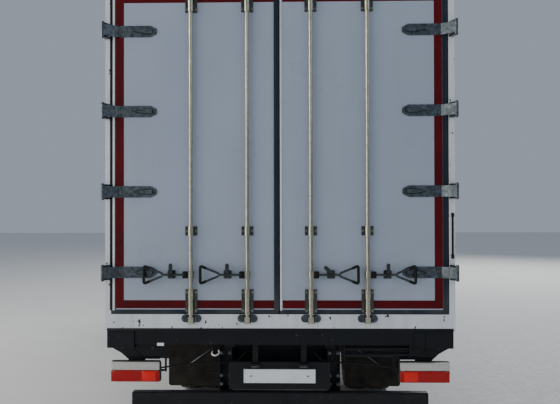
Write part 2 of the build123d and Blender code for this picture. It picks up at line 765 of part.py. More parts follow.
with BuildPart() as rear_beam:
    with BuildSketch(seen_from_right(-box_half + 12)):
        with Locations((beam_face_y + rear_beam_depth / 2, box_bottom_z - rear_beam_height / 2)):
            Rectangle(rear_beam_depth, rear_beam_height)
        with Locations((beam_face_y + rear_beam_depth / 2 + 6, box_bottom_z - rear_beam_height / 2)):
            Rectangle(rear_beam_depth, rear_beam_height - 12, mode=Mode.SUBTRACT)
    extrude(amount=2 * (box_half - 12))
    for side, _ in sides:
        # Box on the beam's end, down to the lamp's bracket
        with BuildSketch(seen_from_behind(beam_face_y + rear_beam_depth)):
            with Locations((side * lamp_bracket_x, end_box_low_z + end_box_height / 2)):
                Rectangle(lamp_bracket_width, end_box_height)
        extrude(amount=rear_beam_depth + end_box_proud)
        # Plate that slopes inwards to the lamp
        with BuildSketch(seen_from_behind(beam_face_y + 50)):
            with BuildLine():
                Polyline((side * (lamp_bracket_x + 60), end_box_low_z),
                         (side * (lamp_bracket_x - 60), end_box_low_z),
                         (side * (lamp_x - 60), lamp_z + lamp_height / 2),
                         (side * (lamp_x - 60), lamp_z - 30),
                         (side * (lamp_x + 60), lamp_z - 30),
                         (side * (lamp_x + 60), lamp_z + lamp_height / 2),
                         close=True)
            make_face()
        extrude(amount=6)
    # Gusset beside the right box, and a strap from the beam to each lamp's inner end
    with BuildSketch(seen_from_behind(beam_face_y)):
        with BuildLine():
            gusset_x = lamp_bracket_x - lamp_bracket_width / 2
            Polyline((gusset_x, end_box_low_z),
                     (gusset_x, box_bottom_z - gusset_thickness),
                     (gusset_x - gusset_width, box_bottom_z - gusset_thickness),
                     (gusset_x - gusset_width, end_box_low_z + gusset_rise),
                     close=True)
        make_face()
    extrude(amount=gusset_thickness)
    for side, _ in sides:
        with BuildSketch(seen_from_behind(beam_face_y + 50)):
            with Locations((side * hanger_x, (box_bottom_z - rear_beam_height + lamp_z) / 2)):
                Rectangle(hanger_width, box_bottom_z - rear_beam_height - lamp_z + 20)
            with Locations((side * (hanger_x + 25), lamp_z)):
                Rectangle(50, hanger_width)
        extrude(amount=hanger_thickness)
    # Holder of the number plate, on two straps, with a lamp above each
    with BuildSketch(seen_from_behind(plate_face_y + plate_thickness + holder_thickness)):
        with Locations((0, plate_z)):
            RectangleRounded(plate_width + 2 * holder_border, plate_height + 2 * holder_border, 10)
    extrude(amount=holder_thickness)
    for strap_x in (-170, 170):
        with BuildSketch(seen_from_behind(plate_face_y + plate_thickness + holder_thickness + 6)):
            with Locations((strap_x, (plate_z + box_bottom_z - rear_beam_height) / 2)):
                Rectangle(40, box_bottom_z - rear_beam_height - plate_z)
        extrude(amount=6)
        with BuildSketch(seen_from_behind(plate_face_y + plate_thickness + holder_thickness)):
            with Locations((strap_x, plate_z + plate_height / 2 + holder_border + 12)):
                RectangleRounded(70, 26, 8)
        extrude(amount=34)
    # Stowed step at the right: two tubes with end plates
    for tube_z in (step_z + 22, step_z - 22):
        with BuildSketch(seen_from_right(step_inner_x)):
            with Locations((beam_face_y + 40, tube_z)):
                Circle(step_tube_radius)
        extrude(amount=step_outer_x - step_inner_x)
    for plate_x in (step_inner_x, step_outer_x):
        with BuildSketch(seen_from_right(plate_x - 4)):
            with Locations((beam_face_y + 40, (step_z - 40 + box_bottom_z - rear_beam_height) / 2)):
                Rectangle(50, box_bottom_z - rear_beam_height - step_z + 40)
        extrude(amount=8)
save(rear_beam, "rear_beam")

# Number plate, blank
with BuildPart() as number_plate:
    with BuildSketch(seen_from_behind(plate_face_y + plate_thickness)):
        with Locations((0, plate_z)):
            RectangleRounded(plate_width, plate_height, 8)
    extrude(amount=plate_thickness)
save(number_plate, "number_plate")

# Underrun bar: a rounded hollow section on two brackets behind the rails
bar_half = 1036
bar_height = 118
bar_depth = 80
bar_top_z = 600
bar_wall = 5
bar_bracket_x = 385
bar_bracket_width = 90
bar_front_y = rail_rear_y - 80

with BuildPart() as underrun_bar:
    with BuildSketch(seen_from_right(-bar_half)):
        with Locations((bar_front_y - bar_depth / 2, bar_top_z - bar_height / 2)):
            RectangleRounded(bar_depth, bar_height, 16)
            RectangleRounded(bar_depth - 2 * bar_wall, bar_height - 2 * bar_wall, 11, mode=Mode.SUBTRACT)
    extrude(amount=2 * bar_half)
    for side, _ in sides:
        with BuildSketch(seen_from_behind(rail_rear_y)):
            with Locations((side * bar_bracket_x, (rail_top_z + bar_top_z - bar_height) / 2)):
                Rectangle(bar_bracket_width, rail_top_z - bar_top_z + bar_height)
            with Locations((side * bar_bracket_x, (rail_top_z + bar_top_z - bar_height) / 2)):
                Rectangle(bar_bracket_width - 12, rail_top_z - bar_top_z + bar_height + 2,
                          mode=Mode.SUBTRACT)
        extrude(amount=rail_rear_y - bar_front_y)
        with BuildSketch(seen_from_behind(rail_rear_y)):
            with Locations((side * bar_bracket_x, (rail_top_z + bar_top_z - bar_height) / 2)):
                Rectangle(bar_bracket_width, rail_top_z - bar_top_z + bar_height)
        extrude(amount=6)
save(underrun_bar, "underrun_bar")

# Mudguards: arched sheets over the front and rear wheels, on stays from the rails
guard_sheet = 4
guard_table = (  # axle y, inner radius, first and last angle, inner x, outer x
    (front_axle_y, 505, 28, 152, 700, 1040),
    (rear_axle_y, 478, 12, 168, 596, 1106),
)

with BuildPart() as mudguards:
    for guard_y, guard_radius, first, last, inner_x, outer_x in guard_table:
        outer_radius = guard_radius + guard_sheet
        for side, _ in sides:
            with BuildSketch(seen_from_right(min(side * inner_x, side * outer_x))):
                with BuildLine():
                    low = CenterArc((guard_y, axle_z), guard_radius, first, last - first)
                    high = CenterArc((guard_y, axle_z), outer_radius, first, last - first)
                    Line(low @ 0, high @ 0)
                    Line(low @ 1, high @ 1)
                make_face()
            extrude(amount=outer_x - inner_x)
            for stay_angle in (50, 130):
                stay_y = guard_y + (outer_radius + 10) * math.cos(math.radians(stay_angle))
                stay_z = axle_z + (outer_radius + 10) * math.sin(math.radians(stay_angle))
                with BuildSketch(seen_from_right(side * rail_half_spread)):
                    with Locations((stay_y, stay_z)):
                        Circle(12)
                extrude(amount=side * (outer_x - 20 - rail_half_spread))
save(mudguards, "mudguards")

# Mud flaps behind the rear wheels, hung from a bar on each rail, with a slanting stay
flap_y = rear_axle_y - 560
flap_inner_x = 590
flap_outer_x = 1128
flap_bottom_z = 160
flap_top_z = 850
flap_thickness = 8
flap_bar_radius = 12

with BuildPart() as mud_flaps:
    for side, _ in sides:
        with BuildSketch(seen_from_behind(flap_y)):
            with Locations((side * (flap_inner_x + flap_outer_x) / 2, (flap_bottom_z + flap_top_z) / 2)):
                RectangleRounded(flap_outer_x - flap_inner_x, flap_top_z - flap_bottom_z, 25)
        extrude(amount=flap_thickness)
        with BuildSketch(seen_from_right(side * rail_half_spread)):
            with Locations((flap_y - flap_thickness / 2, flap_top_z + 4)):
                Circle(flap_bar_radius)
        extrude(amount=side * (flap_outer_x - rail_half_spread))
save(mud_flaps, "mud_flaps")

# Side guards between the axles: two rails on three posts a side
guard_front_y = front_axle_y - 860
guard_rear_y = rear_axle_y + 530
guard_rail_height = 90
guard_rail_depth = 28
guard_outer_x = box_half - 30
guard_rail_rows = (520, 760)
guard_post_width = 50
guard_post_depth = 30
guard_post_bearers = (6, 8, 10)

with BuildPart() as side_guards:
    for side, _ in sides:
        for row_z in guard_rail_rows:
            with BuildSketch(seen_from_behind(guard_front_y)):
                with Locations((side * (guard_outer_x - guard_rail_depth / 2), row_z)):
                    RectangleRounded(guard_rail_depth, guard_rail_height, 8)
            extrude(amount=guard_front_y - guard_rear_y)
        for bearer in guard_post_bearers:
            post_y = bearer_rear_y + cross_bearer_width / 2 + bearer * bearer_pitch
            post_bottom_z = guard_rail_rows[0] - guard_rail_height / 2
            post_height = rail_top_z + bearer_height - post_bottom_z
            with BuildSketch(seen_from_behind(post_y + guard_post_width / 2)):
                with Locations((side * (guard_outer_x - guard_rail_depth - guard_post_depth / 2),
                                post_bottom_z + post_height / 2)):
                    Rectangle(guard_post_depth, post_height)
            extrude(amount=guard_post_width)
save(side_guards, "side_guards")

# Front bumper: a shell curved back at its ends, with openings for headlamps, fog lamps and air
bumper_bottom_z = 420
bumper_top_z = 830
bumper_shell = 22
bumper_back_y = overall_half - 58
slot_width = 900
slot_height = 24
slot_rows = (475, 515, 555)
carrier_width = 24
carrier_height = 90
carrier_z = 730
bumper_half = 1045
headlamp_inner_x = 620
headlamp_outer_x = 930
headlamp_bottom_z = 600
headlamp_top_z = 780

fog_x = 560
fog_z = 515
fog_radius = 46
plate_recess_width = 532
plate_recess_height = 124
plate_recess_depth = 5
plate_recess_z = 668
bumper_end_y = bumper_back_y - 120
bumper_corner = 110


def bumper_plan(inset):
    with BuildSketch() as plan:
        with Locations((0, (bumper_end_y - 2 * inset + overall_half) / 2)):
            Rectangle(2 * (bumper_half - inset), overall_half - bumper_end_y)
        fillet(plan.vertices().group_by(Axis.Y)[-1], radius=bumper_corner - inset)
    return plan.sketch_local


with BuildPart() as front_bumper:
    with BuildSketch(seen_from_above(bumper_bottom_z)):
        add(bumper_plan(0))
        add(bumper_plan(bumper_shell), mode=Mode.SUBTRACT)
    extrude(amount=bumper_top_z - bumper_bottom_z)
    with BuildSketch(seen_from_behind(overall_half + 5)):
        for side, _ in sides:
            with Locations((side * (headlamp_inner_x + headlamp_outer_x) / 2,
                            (headlamp_bottom_z + headlamp_top_z) / 2)):
                RectangleRounded(headlamp_outer_x - headlamp_inner_x,
                                 headlamp_top_z - headlamp_bottom_z, 30)
            with Locations((side * fog_x, fog_z)):
                Circle(fog_radius)
        for slot_z in slot_rows:
            with Locations((0, slot_z)):
                RectangleRounded(slot_width, slot_height, 8)
    extrude(amount=80, mode=Mode.SUBTRACT)
    # Shallow seat of the front plate
    with BuildSketch(seen_from_behind(overall_half)):
        with Locations((0, plate_recess_z)):
            RectangleRounded(plate_recess_width, plate_recess_height, 10)
    extrude(amount=plate_recess_depth, mode=Mode.SUBTRACT)
    # Carriers from the rails' ends
    for side, _ in sides:
        with BuildSketch(seen_from_behind(overall_half - bumper_shell)):
            with Locations((side * (rail_half_spread - carrier_width / 2), carrier_z)):
                Rectangle(carrier_width, carrier_height)
        extrude(amount=overall_half - bumper_shell - rail_front_y)
save(front_bumper, "front_bumper")

# Lamps: a rear housing a side with its lenses, and a headlamp a side in the bumper
lamp_face_y = beam_face_y + 44 - lamp_depth
lens_depth = 22
lens_border = 7

with BuildPart() as lamps:
    for side, _ in sides:
        with BuildSketch(seen_from_behind(beam_face_y + 44 - seat_gap)):
            with Locations((side * lamp_x, lamp_z)):
                RectangleRounded(lamp_width, lamp_height, 20)
        extrude(amount=lamp_depth - lens_depth)
        with BuildSketch(seen_from_behind(lamp_face_y + lens_depth)):
            with Locations((side * lamp_x, lamp_z)):
                RectangleRounded(lamp_width - 2 * lens_border, lamp_height - 2 * lens_border, 16)
        extrude(amount=lens_depth)
        with BuildSketch(seen_from_behind(overall_half - 22)):
            with Locations((side * (headlamp_inner_x + headlamp_outer_x) / 2,
                            (headlamp_bottom_z + headlamp_top_z) / 2)):
                RectangleRounded(headlamp_outer_x - headlamp_inner_x - 2 * seat_gap,
                                 headlamp_top_z - headlamp_bottom_z - 2 * seat_gap, 30 - seat_gap)
        extrude(amount=42)
save(lamps, "lamps")

# Cab steps, fixed to the chassis between the front wheel and the bumper
step_rear_y = front_axle_y + 520
step_front_y = cab_front_y - 130
step_shell_inner_x = 800
step_box_outer_x = 1045
step_box_bottom_z = 430
step_box_top_z = 884

with BuildPart() as cab_steps:
    for side, _ in sides:
        with BuildSketch(seen_from_behind(step_front_y)):
            with Locations((side * (step_shell_inner_x + step_box_outer_x) / 2,
                            (step_box_bottom_z + step_box_top_z) / 2)):
                Rectangle(step_box_outer_x - step_shell_inner_x, step_box_top_z - step_box_bottom_z)
        extrude(amount=step_front_y - step_rear_y)
        # Two foot wells, open outwards
        for well_z in (step_box_bottom_z + 120, step_box_bottom_z + 340):
            with BuildSketch(seen_from_right(side * (step_box_outer_x + 1))):
                with Locations(((step_rear_y + step_front_y) / 2, well_z)):
                    RectangleRounded(step_front_y - step_rear_y - 60, 180, 20)
            extrude(amount=-side * 200, mode=Mode.SUBTRACT)
        with BuildSketch(seen_from_behind(step_front_y - 180)):
            with Locations((side * (rail_half_spread + step_shell_inner_x) / 2, rail_top_z - 60)):
                Rectangle(step_shell_inner_x - rail_half_spread, 70)
        extrude(amount=70)
save(cab_steps, "cab_steps")

# Box floor, walls, roof and front wall, with profiles along the edges
profile_proud = 4.5
profile_low_height = 95
profile_high_height = 70
profile_wrap = 55
with BuildPart() as box_floor:
    with BuildSketch(seen_from_behind(box_front_y - wall_thickness)):
        with Locations((0, box_bottom_z + floor_thickness / 2)):
            Rectangle(2 * (wall_half - wall_thickness), floor_thickness)
    extrude(amount=box_front_y - wall_thickness - portal_front_y)
save(box_floor, "box_floor")

with BuildPart() as box_walls:
    for side, _ in sides:
        with BuildSketch(seen_from_behind(box_front_y)):
            with Locations((side * (wall_half - wall_thickness / 2), (box_bottom_z + box_roof_z) / 2)):
                Rectangle(wall_thickness, box_roof_z - box_bottom_z)
        extrude(amount=box_front_y - portal_front_y)
    with BuildSketch(seen_from_behind(box_front_y)):
        with Locations((0, (box_bottom_z + box_roof_z) / 2)):
            Rectangle(2 * (wall_half - wall_thickness - seat_gap), box_roof_z - box_bottom_z)
    extrude(amount=wall_thickness)
    for side, _ in sides:
        # Lower and upper profiles of the side, and the corner profile at the front
        profile_table = (  # bottom z, top z, front y, rear y
            (box_bottom_z, box_bottom_z + profile_low_height, box_front_y, portal_front_y),
            (box_roof_z - profile_high_height, box_roof_z, box_front_y, portal_front_y),
            (box_bottom_z, box_roof_z, box_front_y + profile_proud, box_front_y - profile_wrap),
        )
        for low_z, high_z, front_y, back_y in profile_table:
            with BuildSketch(seen_from_behind(front_y)):
                with Locations((side * (wall_half - wall_thickness / 2 + profile_proud / 2),
                                (low_z + high_z) / 2)):
                    Rectangle(wall_thickness + profile_proud, high_z - low_z)
            extrude(amount=front_y - back_y)
    # Front faces of the profiles, at the top and the bottom
    for low_z, high_z in ((box_bottom_z, box_bottom_z + profile_low_height),
                          (box_roof_z - profile_wrap, box_roof_z)):
        with BuildSketch(seen_from_behind(box_front_y + profile_proud)):
            with Locations((0, (low_z + high_z) / 2)):
                Rectangle(2 * (wall_half - wall_thickness - seat_gap), high_z - low_z)
        extrude(amount=profile_proud)
save(box_walls, "box_walls")

with BuildPart() as box_roof:
    with BuildSketch(seen_from_behind(box_front_y - wall_thickness)):
        with Locations((0, box_roof_z - roof_thickness / 2)):
            Rectangle(2 * (wall_half - wall_thickness), roof_thickness)
    extrude(amount=box_front_y - wall_thickness - portal_front_y)
    for side, _ in sides:
        with BuildSketch(seen_from_behind(box_front_y - wall_thickness)):
            with Locations((side * (wall_half - wall_thickness - profile_wrap / 2),
                            box_roof_z + profile_proud / 2)):
                Rectangle(profile_wrap, profile_proud)
        extrude(amount=box_front_y - wall_thickness - portal_front_y)
save(box_roof, "box_roof")

# Rear portal: posts, header and sill round the door opening
hinge_rows = (box_bottom_z + 413, box_bottom_z + 978, box_bottom_z + 1543, box_bottom_z + 2108)
pin_x = box_half
pin_y = rear_face_y - pin_standoff
pin_radius = 7
sleeve_height = 78
lug_thickness = 13
lug_gap = 0.5

with BuildPart() as rear_portal:
    with BuildSketch(seen_from_behind(portal_front_y)):
        with Locations((0, (box_bottom_z + portal_top_z) / 2)):
            Rectangle(box_width, portal_height)
        with Locations((0, (box_bottom_z + sill_height + portal_top_z - header_height) / 2)):
            Rectangle(2 * (box_half - post_width), portal_height - sill_height - header_height,
                      mode=Mode.SUBTRACT)
    extrude(amount=portal_depth)
save(rear_portal, "rear_portal")

# Portal fittings: the fixed halves of the hinges, and the keepers of the lock bars
bar_columns = (222, 616)
bar_radius = 13.5
bar_standoff = 28
bar_bottom_z = box_bottom_z + 60
bar_top_z = portal_top_z - 45
bar_y = rear_face_y - bar_standoff
cam_width = 44
cam_depth = 30
cam_height = 45
keeper_width = 140
keeper_height = 54
keeper_plate = 6
keeper_lug = 11
keeper_reach = 34
cam_clearance = 6

with BuildPart() as portal_fittings:
    for side, _ in sides:
        for row_z in hinge_rows:
            for above in (-1, 1):
                lug_z = row_z + above * (sleeve_height / 2 + lug_gap + lug_thickness / 2)
                with BuildSketch(seen_from_above(lug_z - lug_thickness / 2)):
                    with BuildLine():
                        Polyline((side * (pin_x - knuckle_radius), pin_y),
                                 (side * (pin_x + knuckle_radius), pin_y),
                                 (side * pin_x, rear_face_y),
                                 (side * (pin_x - post_width + 4), rear_face_y), close=True)
                    make_face()
                    with Locations((side * pin_x, pin_y)):
                        Circle(knuckle_radius)
                extrude(amount=lug_thickness)
            with BuildSketch(seen_from_above(row_z - sleeve_height / 2 - lug_gap - lug_thickness)):
                with Locations((side * pin_x, pin_y)):
                    Circle(pin_radius)
            extrude(amount=sleeve_height + 2 * (lug_gap + lug_thickness))
        # An oval base with a lug on each side of the cam, at both ends of each bar
        for column_x in bar_columns:
            for keeper_z in (bar_bottom_z + 30, bar_top_z - 28):
                with BuildSketch(seen_from_behind(rear_face_y)):
                    with Locations((side * column_x, keeper_z)):
                        SlotOverall(keeper_width, keeper_height)
                extrude(amount=keeper_plate)
                for lug in (-1, 1):
                    lug_x = side * column_x + lug * (cam_width / 2 + cam_clearance + keeper_lug / 2)
                    with BuildSketch(seen_from_behind(rear_face_y)):
                        with Locations((lug_x, keeper_z)):
                            Rectangle(keeper_lug, keeper_height - 12)
                    extrude(amount=keeper_reach)
save(portal_fittings, "portal_fittings")

# Rear doors: plug-shaped insulated leaves
for side, hand in sides:
    with BuildPart() as rear_door:
        with BuildSketch(Plane.XZ.offset(-rear_face_y).rotated((180, 0, 0))):
            with Locations((side * (door_inner_x + door_outer_x) / 2, -(door_bottom_z + door_top_z) / 2)):
                Rectangle(door_outer_x - door_inner_x, door_top_z - door_bottom_z)
        extrude(amount=door_thickness, taper=door_plug_taper)
    save(rear_door, f"rear_door_{hand}")

# Door seals: a lip round each leaf at its outer face
lip_width = door_edge_gap - lip_clearance
centre_lip_width = centre_seal_width / 2 - centre_lip_clearance

for side, hand in sides:
    with BuildPart() as door_seal:
        with BuildSketch(seen_from_behind(rear_face_y + lip_depth)):
            outer_x = door_outer_x + lip_width
            inner_x = door_inner_x - centre_lip_width
            with Locations((side * (outer_x + inner_x) / 2, (door_bottom_z + door_top_z) / 2)):
                Rectangle(outer_x - inner_x, door_top_z - door_bottom_z + 2 * lip_width)
            with Locations((side * (door_inner_x + door_outer_x) / 2, (door_bottom_z + door_top_z) / 2)):
                Rectangle(door_outer_x - door_inner_x, door_top_z - door_bottom_z, mode=Mode.SUBTRACT)
        extrude(amount=lip_depth)
    save(door_seal, f"door_seal_{hand}")

# Strap hinges on the leaves: a blade with a blunt tip, a raised rib and a cranked arm to the pin
blade_height = 80
blade_tip_height = 36
blade_taper = 42
blade_corner = 11
blade_thickness = 6
blade_tip_x = box_half - 365
rib_height = 42
rib_thickness = 14
rib_draft = 24
rib_point_x = blade_tip_x + 175
rib_blunt_x = blade_tip_x + 22
rib_shoulder = 70
rib_bevel = 14
crank_x = door_outer_x - 20

for side, hand in sides:
    with BuildPart() as door_hinges:
        for row_z in hinge_rows:
            # Blade flat on the leaf
            with BuildSketch(seen_from_behind(rear_face_y)) as blade:
                with BuildLine():
                    Polyline((side * blade_tip_x, row_z + blade_tip_height / 2),
                             (side * (blade_tip_x + blade_taper), row_z + blade_height / 2),
                             (side * door_outer_x, row_z + blade_height / 2),
                             (side * door_outer_x, row_z - blade_height / 2),
                             (side * (blade_tip_x + blade_taper), row_z - blade_height / 2),
                             (side * blade_tip_x, row_z - blade_tip_height / 2),
                             close=True)
                make_face()
                fillet(blade.vertices().sort_by(Axis((0, 0, 0), (side, 0, 0)))[:4], radius=blade_corner)
            extrude(amount=blade_thickness)
            # Rib raised from the blade like an upturned boat, its point towards the pin
            with BuildSketch(seen_from_behind(rear_face_y - blade_thickness)):
                with BuildLine():
                    Polyline((side * rib_point_x, row_z),
                             (side * (rib_blunt_x + rib_shoulder), row_z + rib_height / 2),
                             (side * (rib_blunt_x + rib_bevel), row_z + rib_height / 2),
                             (side * rib_blunt_x, row_z + rib_height / 4),
                             (side * rib_blunt_x, row_z - rib_height / 4),
                             (side * (rib_blunt_x + rib_bevel), row_z - rib_height / 2),
                             (side * (rib_blunt_x + rib_shoulder), row_z - rib_height / 2),
                             close=True)
                make_face()
            extrude(amount=rib_thickness, taper=rib_draft)
            # Arm from the blade out to the sleeve
            with BuildSketch(seen_from_above(row_z - sleeve_height / 2)):
                with BuildLine():
                    Polyline((side * crank_x, rear_face_y),
                             (side * crank_x, rear_face_y - 10),
                             (side * (pin_x - 6), pin_y - 9),
                             (side * (pin_x + 6), pin_y + 9),
                             (side * door_outer_x, rear_face_y),
                             close=True)
                make_face()
                with Locations((side * pin_x, pin_y)):
                    Circle(knuckle_radius)
                    Circle(pin_radius + running_gap, mode=Mode.SUBTRACT)
            extrude(amount=sleeve_height)
    save(door_hinges, f"door_hinges_{hand}")

# Lock gear: two bars a door, each with cams, guides, a triangular handle and its catch
guide_width = 84
guide_half_height = 84
mid_guide_z = box_bottom_z + 703
mid_guide_height = 63
guide_bore = bar_radius + seat_gap
handle_z = box_bottom_z + 399
handle_rod = 8
handle_reach = 335
handle_y = bar_y - 14
grip_half = 62
handle_neck = 145
handle_bend = 14
low_guide_z = box_bottom_z + 210
catch_x = 139
catch_width = 30
catch_plate = 6
catch_jaw = 14
catch_border = 13
catch_tab_height = 66
catch_tab_width = 26
catch_tab_thickness = 8
catch_tab_root = 2
catch_table = (  # door's side, column, lean of the tab in degrees
    (-1, bar_columns[0], 0),
    (-1, bar_columns[1], 0),
    (1, bar_columns[0], 48),
    (1, bar_columns[1], 0),
)
high_guide_z = door_bottom_z + door_top_z - low_guide_z

for side, hand in sides:
    with BuildPart() as lock_gear:
        for column_x in bar_columns:
            bar_x = side * column_x
            # Bar
            with BuildSketch(seen_from_above(bar_bottom_z)):
                with Locations((bar_x, bar_y)):
                    Circle(bar_radius)
            extrude(amount=bar_top_z - bar_bottom_z)
            # Cam at each end
            for cam_z in (bar_bottom_z, bar_top_z - cam_height):
                with BuildSketch(seen_from_above(cam_z)):
                    with Locations((bar_x, bar_y + 3)):
                        RectangleRounded(cam_width, cam_depth, 6)
                extrude(amount=cam_height)
            # Handle: hub on the bar and a rod bent to a triangle
            with BuildSketch(seen_from_above(handle_z - 24)):
                with Locations((bar_x, bar_y)):
                    Circle(bar_radius + 7)
                with Locations((bar_x + side * 22, handle_y + 6)):
                    Rectangle(44, 22)
            extrude(amount=48)
            near_x = bar_x + side * 30
            apex_x = near_x + side * handle_neck
            far_x = bar_x + side * (handle_reach - handle_rod)
            with BuildLine(seen_from_behind(handle_y)) as loop_path:
                FilletPolyline((apex_x, handle_z), (far_x, handle_z + grip_half),
                               (far_x, handle_z - grip_half), (apex_x, handle_z),
                               radius=handle_bend, close=False)
            with BuildSketch(Plane(origin=loop_path.line @ 0, z_dir=loop_path.line % 0)):
                Circle(handle_rod)
            sweep(path=loop_path.line)
            # Neck from the hub to the loop's rounded inner corner
            apex_half_angle = math.atan2(grip_half, abs(far_x - apex_x))
            apex_recess = handle_bend * (1 / math.sin(apex_half_angle) - 1)
            with BuildSketch(seen_from_right(near_x)):
                with Locations((handle_y, handle_z)):
                    Circle(handle_rod)
            extrude(amount=side * (handle_neck + apex_recess))
        # Guides and catches, apart from the bars
        for column_x in bar_columns:
            bar_x = side * column_x
            guide_table = (  # middle, half height
                (low_guide_z, guide_half_height),
                (high_guide_z, guide_half_height),
                (mid_guide_z, mid_guide_height / 2),
            )
            for guide_z, half_height in guide_table:
                with BuildSketch(seen_from_above(guide_z - half_height)):
                    with Locations((bar_x, rear_face_y - 3)):
                        Rectangle(guide_width, 6)
                    with Locations((bar_x, (rear_face_y + bar_y) / 2)):
                        Rectangle(2 * bar_radius + 12, bar_standoff)
                    with Locations((bar_x, bar_y)):
                        Circle(bar_radius + 6)
                        Circle(guide_bore, mode=Mode.SUBTRACT)
                extrude(amount=2 * half_height)
        # Catches: two jaws round each handle's neck, and a tab that swings over it
        for catch_side, column_x, lean in catch_table:
            if catch_side == side:
                jaw_front_y = handle_y - handle_rod - catch_tab_root
                middle_x = side * (column_x + catch_x)
                jaw_offset = handle_rod + seat_gap + catch_jaw / 2
                with BuildSketch(seen_from_behind(rear_face_y)):
                    with Locations((middle_x, handle_z)):
                        RectangleRounded(catch_width + 2 * catch_border, 2 * (jaw_offset + catch_jaw), 8)
                extrude(amount=catch_plate)
                with BuildSketch(seen_from_behind(rear_face_y)):
                    for jaw in (-1, 1):
                        with Locations((middle_x, handle_z + jaw * jaw_offset)):
                            Rectangle(catch_width, catch_jaw)
                extrude(amount=rear_face_y - jaw_front_y)
                with BuildSketch(seen_from_behind(jaw_front_y + catch_tab_thickness)):
                    with Locations(Location((middle_x, handle_z + jaw_offset), lean)):
                        with Locations((0, catch_tab_height / 2 - catch_tab_root)):
                            SlotOverall(catch_tab_height, catch_tab_width, rotation=90)
                extrude(amount=catch_tab_thickness)
    save(lock_gear, f"lock_gear_{hand}")

# Refrigeration unit on the front wall, over the cab: condenser slats, louvres and service flaps
unit_bottom_z = 2720
unit_top_z = 3470
unit_half = 900
unit_depth = 470
condenser_half = 720
condenser_height = 270
condenser_recess = 110
condenser_slats = 6
condenser_pitch = 42
slat_front = 34
slat_back = 62
slat_rise = 22
slat_sheet = 8
slat_end = 5
grille_middle_z = unit_bottom_z + 450
louvre_count = 8
louvre_pitch = 48
louvre_length = 200
louvre_height = 22
louvre_depth = 18
louvre_middle = 190
lowest_louvre = 180
flap_height = 190
flap_margin = 60
flap_groove = 6
flap_groove_depth = 27

with BuildPart() as refrigeration_unit:
    with BuildSketch(seen_from_right(-unit_half)):
        with BuildLine():
            Polyline((box_front_y + seat_gap, unit_bottom_z),
                     (box_front_y + unit_depth - 60, unit_bottom_z),
                     (box_front_y + unit_depth, unit_bottom_z + 80),
                     (box_front_y + unit_depth - 40, unit_top_z - 140),
                     (box_front_y + unit_depth - 170, unit_top_z),
                     (box_front_y + seat_gap, unit_top_z),
                     close=True)
        make_face()
    extrude(amount=2 * unit_half)
    fillet(refrigeration_unit.edges().filter_by(Axis.X, reverse=True)
           .filter_by(lambda edge: edge.center().Y > box_front_y + 60), radius=45)
    # Condenser opening with slats across it
    with BuildSketch(seen_from_behind(box_front_y + unit_depth + 5)):
        with Locations((0, grille_middle_z)):
            RectangleRounded(2 * condenser_half, condenser_height, 40)
    extrude(amount=condenser_recess, mode=Mode.SUBTRACT)
    for number in range(condenser_slats):
        slat_z = grille_middle_z + (number - (condenser_slats - 1) / 2) * condenser_pitch
        with BuildSketch(seen_from_right(-condenser_half - slat_end)):
            with BuildLine():
                Polyline((box_front_y + unit_depth - slat_front, slat_z),
                         (box_front_y + unit_depth - slat_back, slat_z + slat_rise),
                         (box_front_y + unit_depth - slat_back, slat_z + slat_rise - slat_sheet),
                         (box_front_y + unit_depth - slat_front, slat_z - slat_sheet),
                         close=True)
            make_face()
        extrude(amount=2 * (condenser_half + slat_end))
    # Louvres in the ends, and grooves round the lower doors
    for side, _ in sides:
        for number in range(louvre_count):
            with BuildSketch(seen_from_right(side * (unit_half + 1))):
                with Locations((box_front_y + louvre_middle,
                                unit_bottom_z + lowest_louvre + number * louvre_pitch)):
                    RectangleRounded(louvre_length, louvre_height, 8)
            extrude(amount=-side * (louvre_depth + 1), mode=Mode.SUBTRACT)
        with BuildSketch(seen_from_behind(box_front_y + unit_depth + 5)):
            with Locations((side * unit_half / 2, unit_bottom_z + flap_height)):
                RectangleRounded(unit_half - 2 * flap_margin, flap_height, 18)
                RectangleRounded(unit_half - 2 * flap_margin - 2 * flap_groove,
                                 flap_height - 2 * flap_groove, 12, mode=Mode.SUBTRACT)
        extrude(amount=flap_groove_depth + 5, mode=Mode.SUBTRACT)
save(refrigeration_unit, "refrigeration_unit")


# Cab. One hollow body, cut at the seams of its real panels.
def cab_half_at(z):
    return cab_half - (cab_half - cab_roof_half) * max(0, z - cab_belt_z) / (cab_roof_z - cab_belt_z)


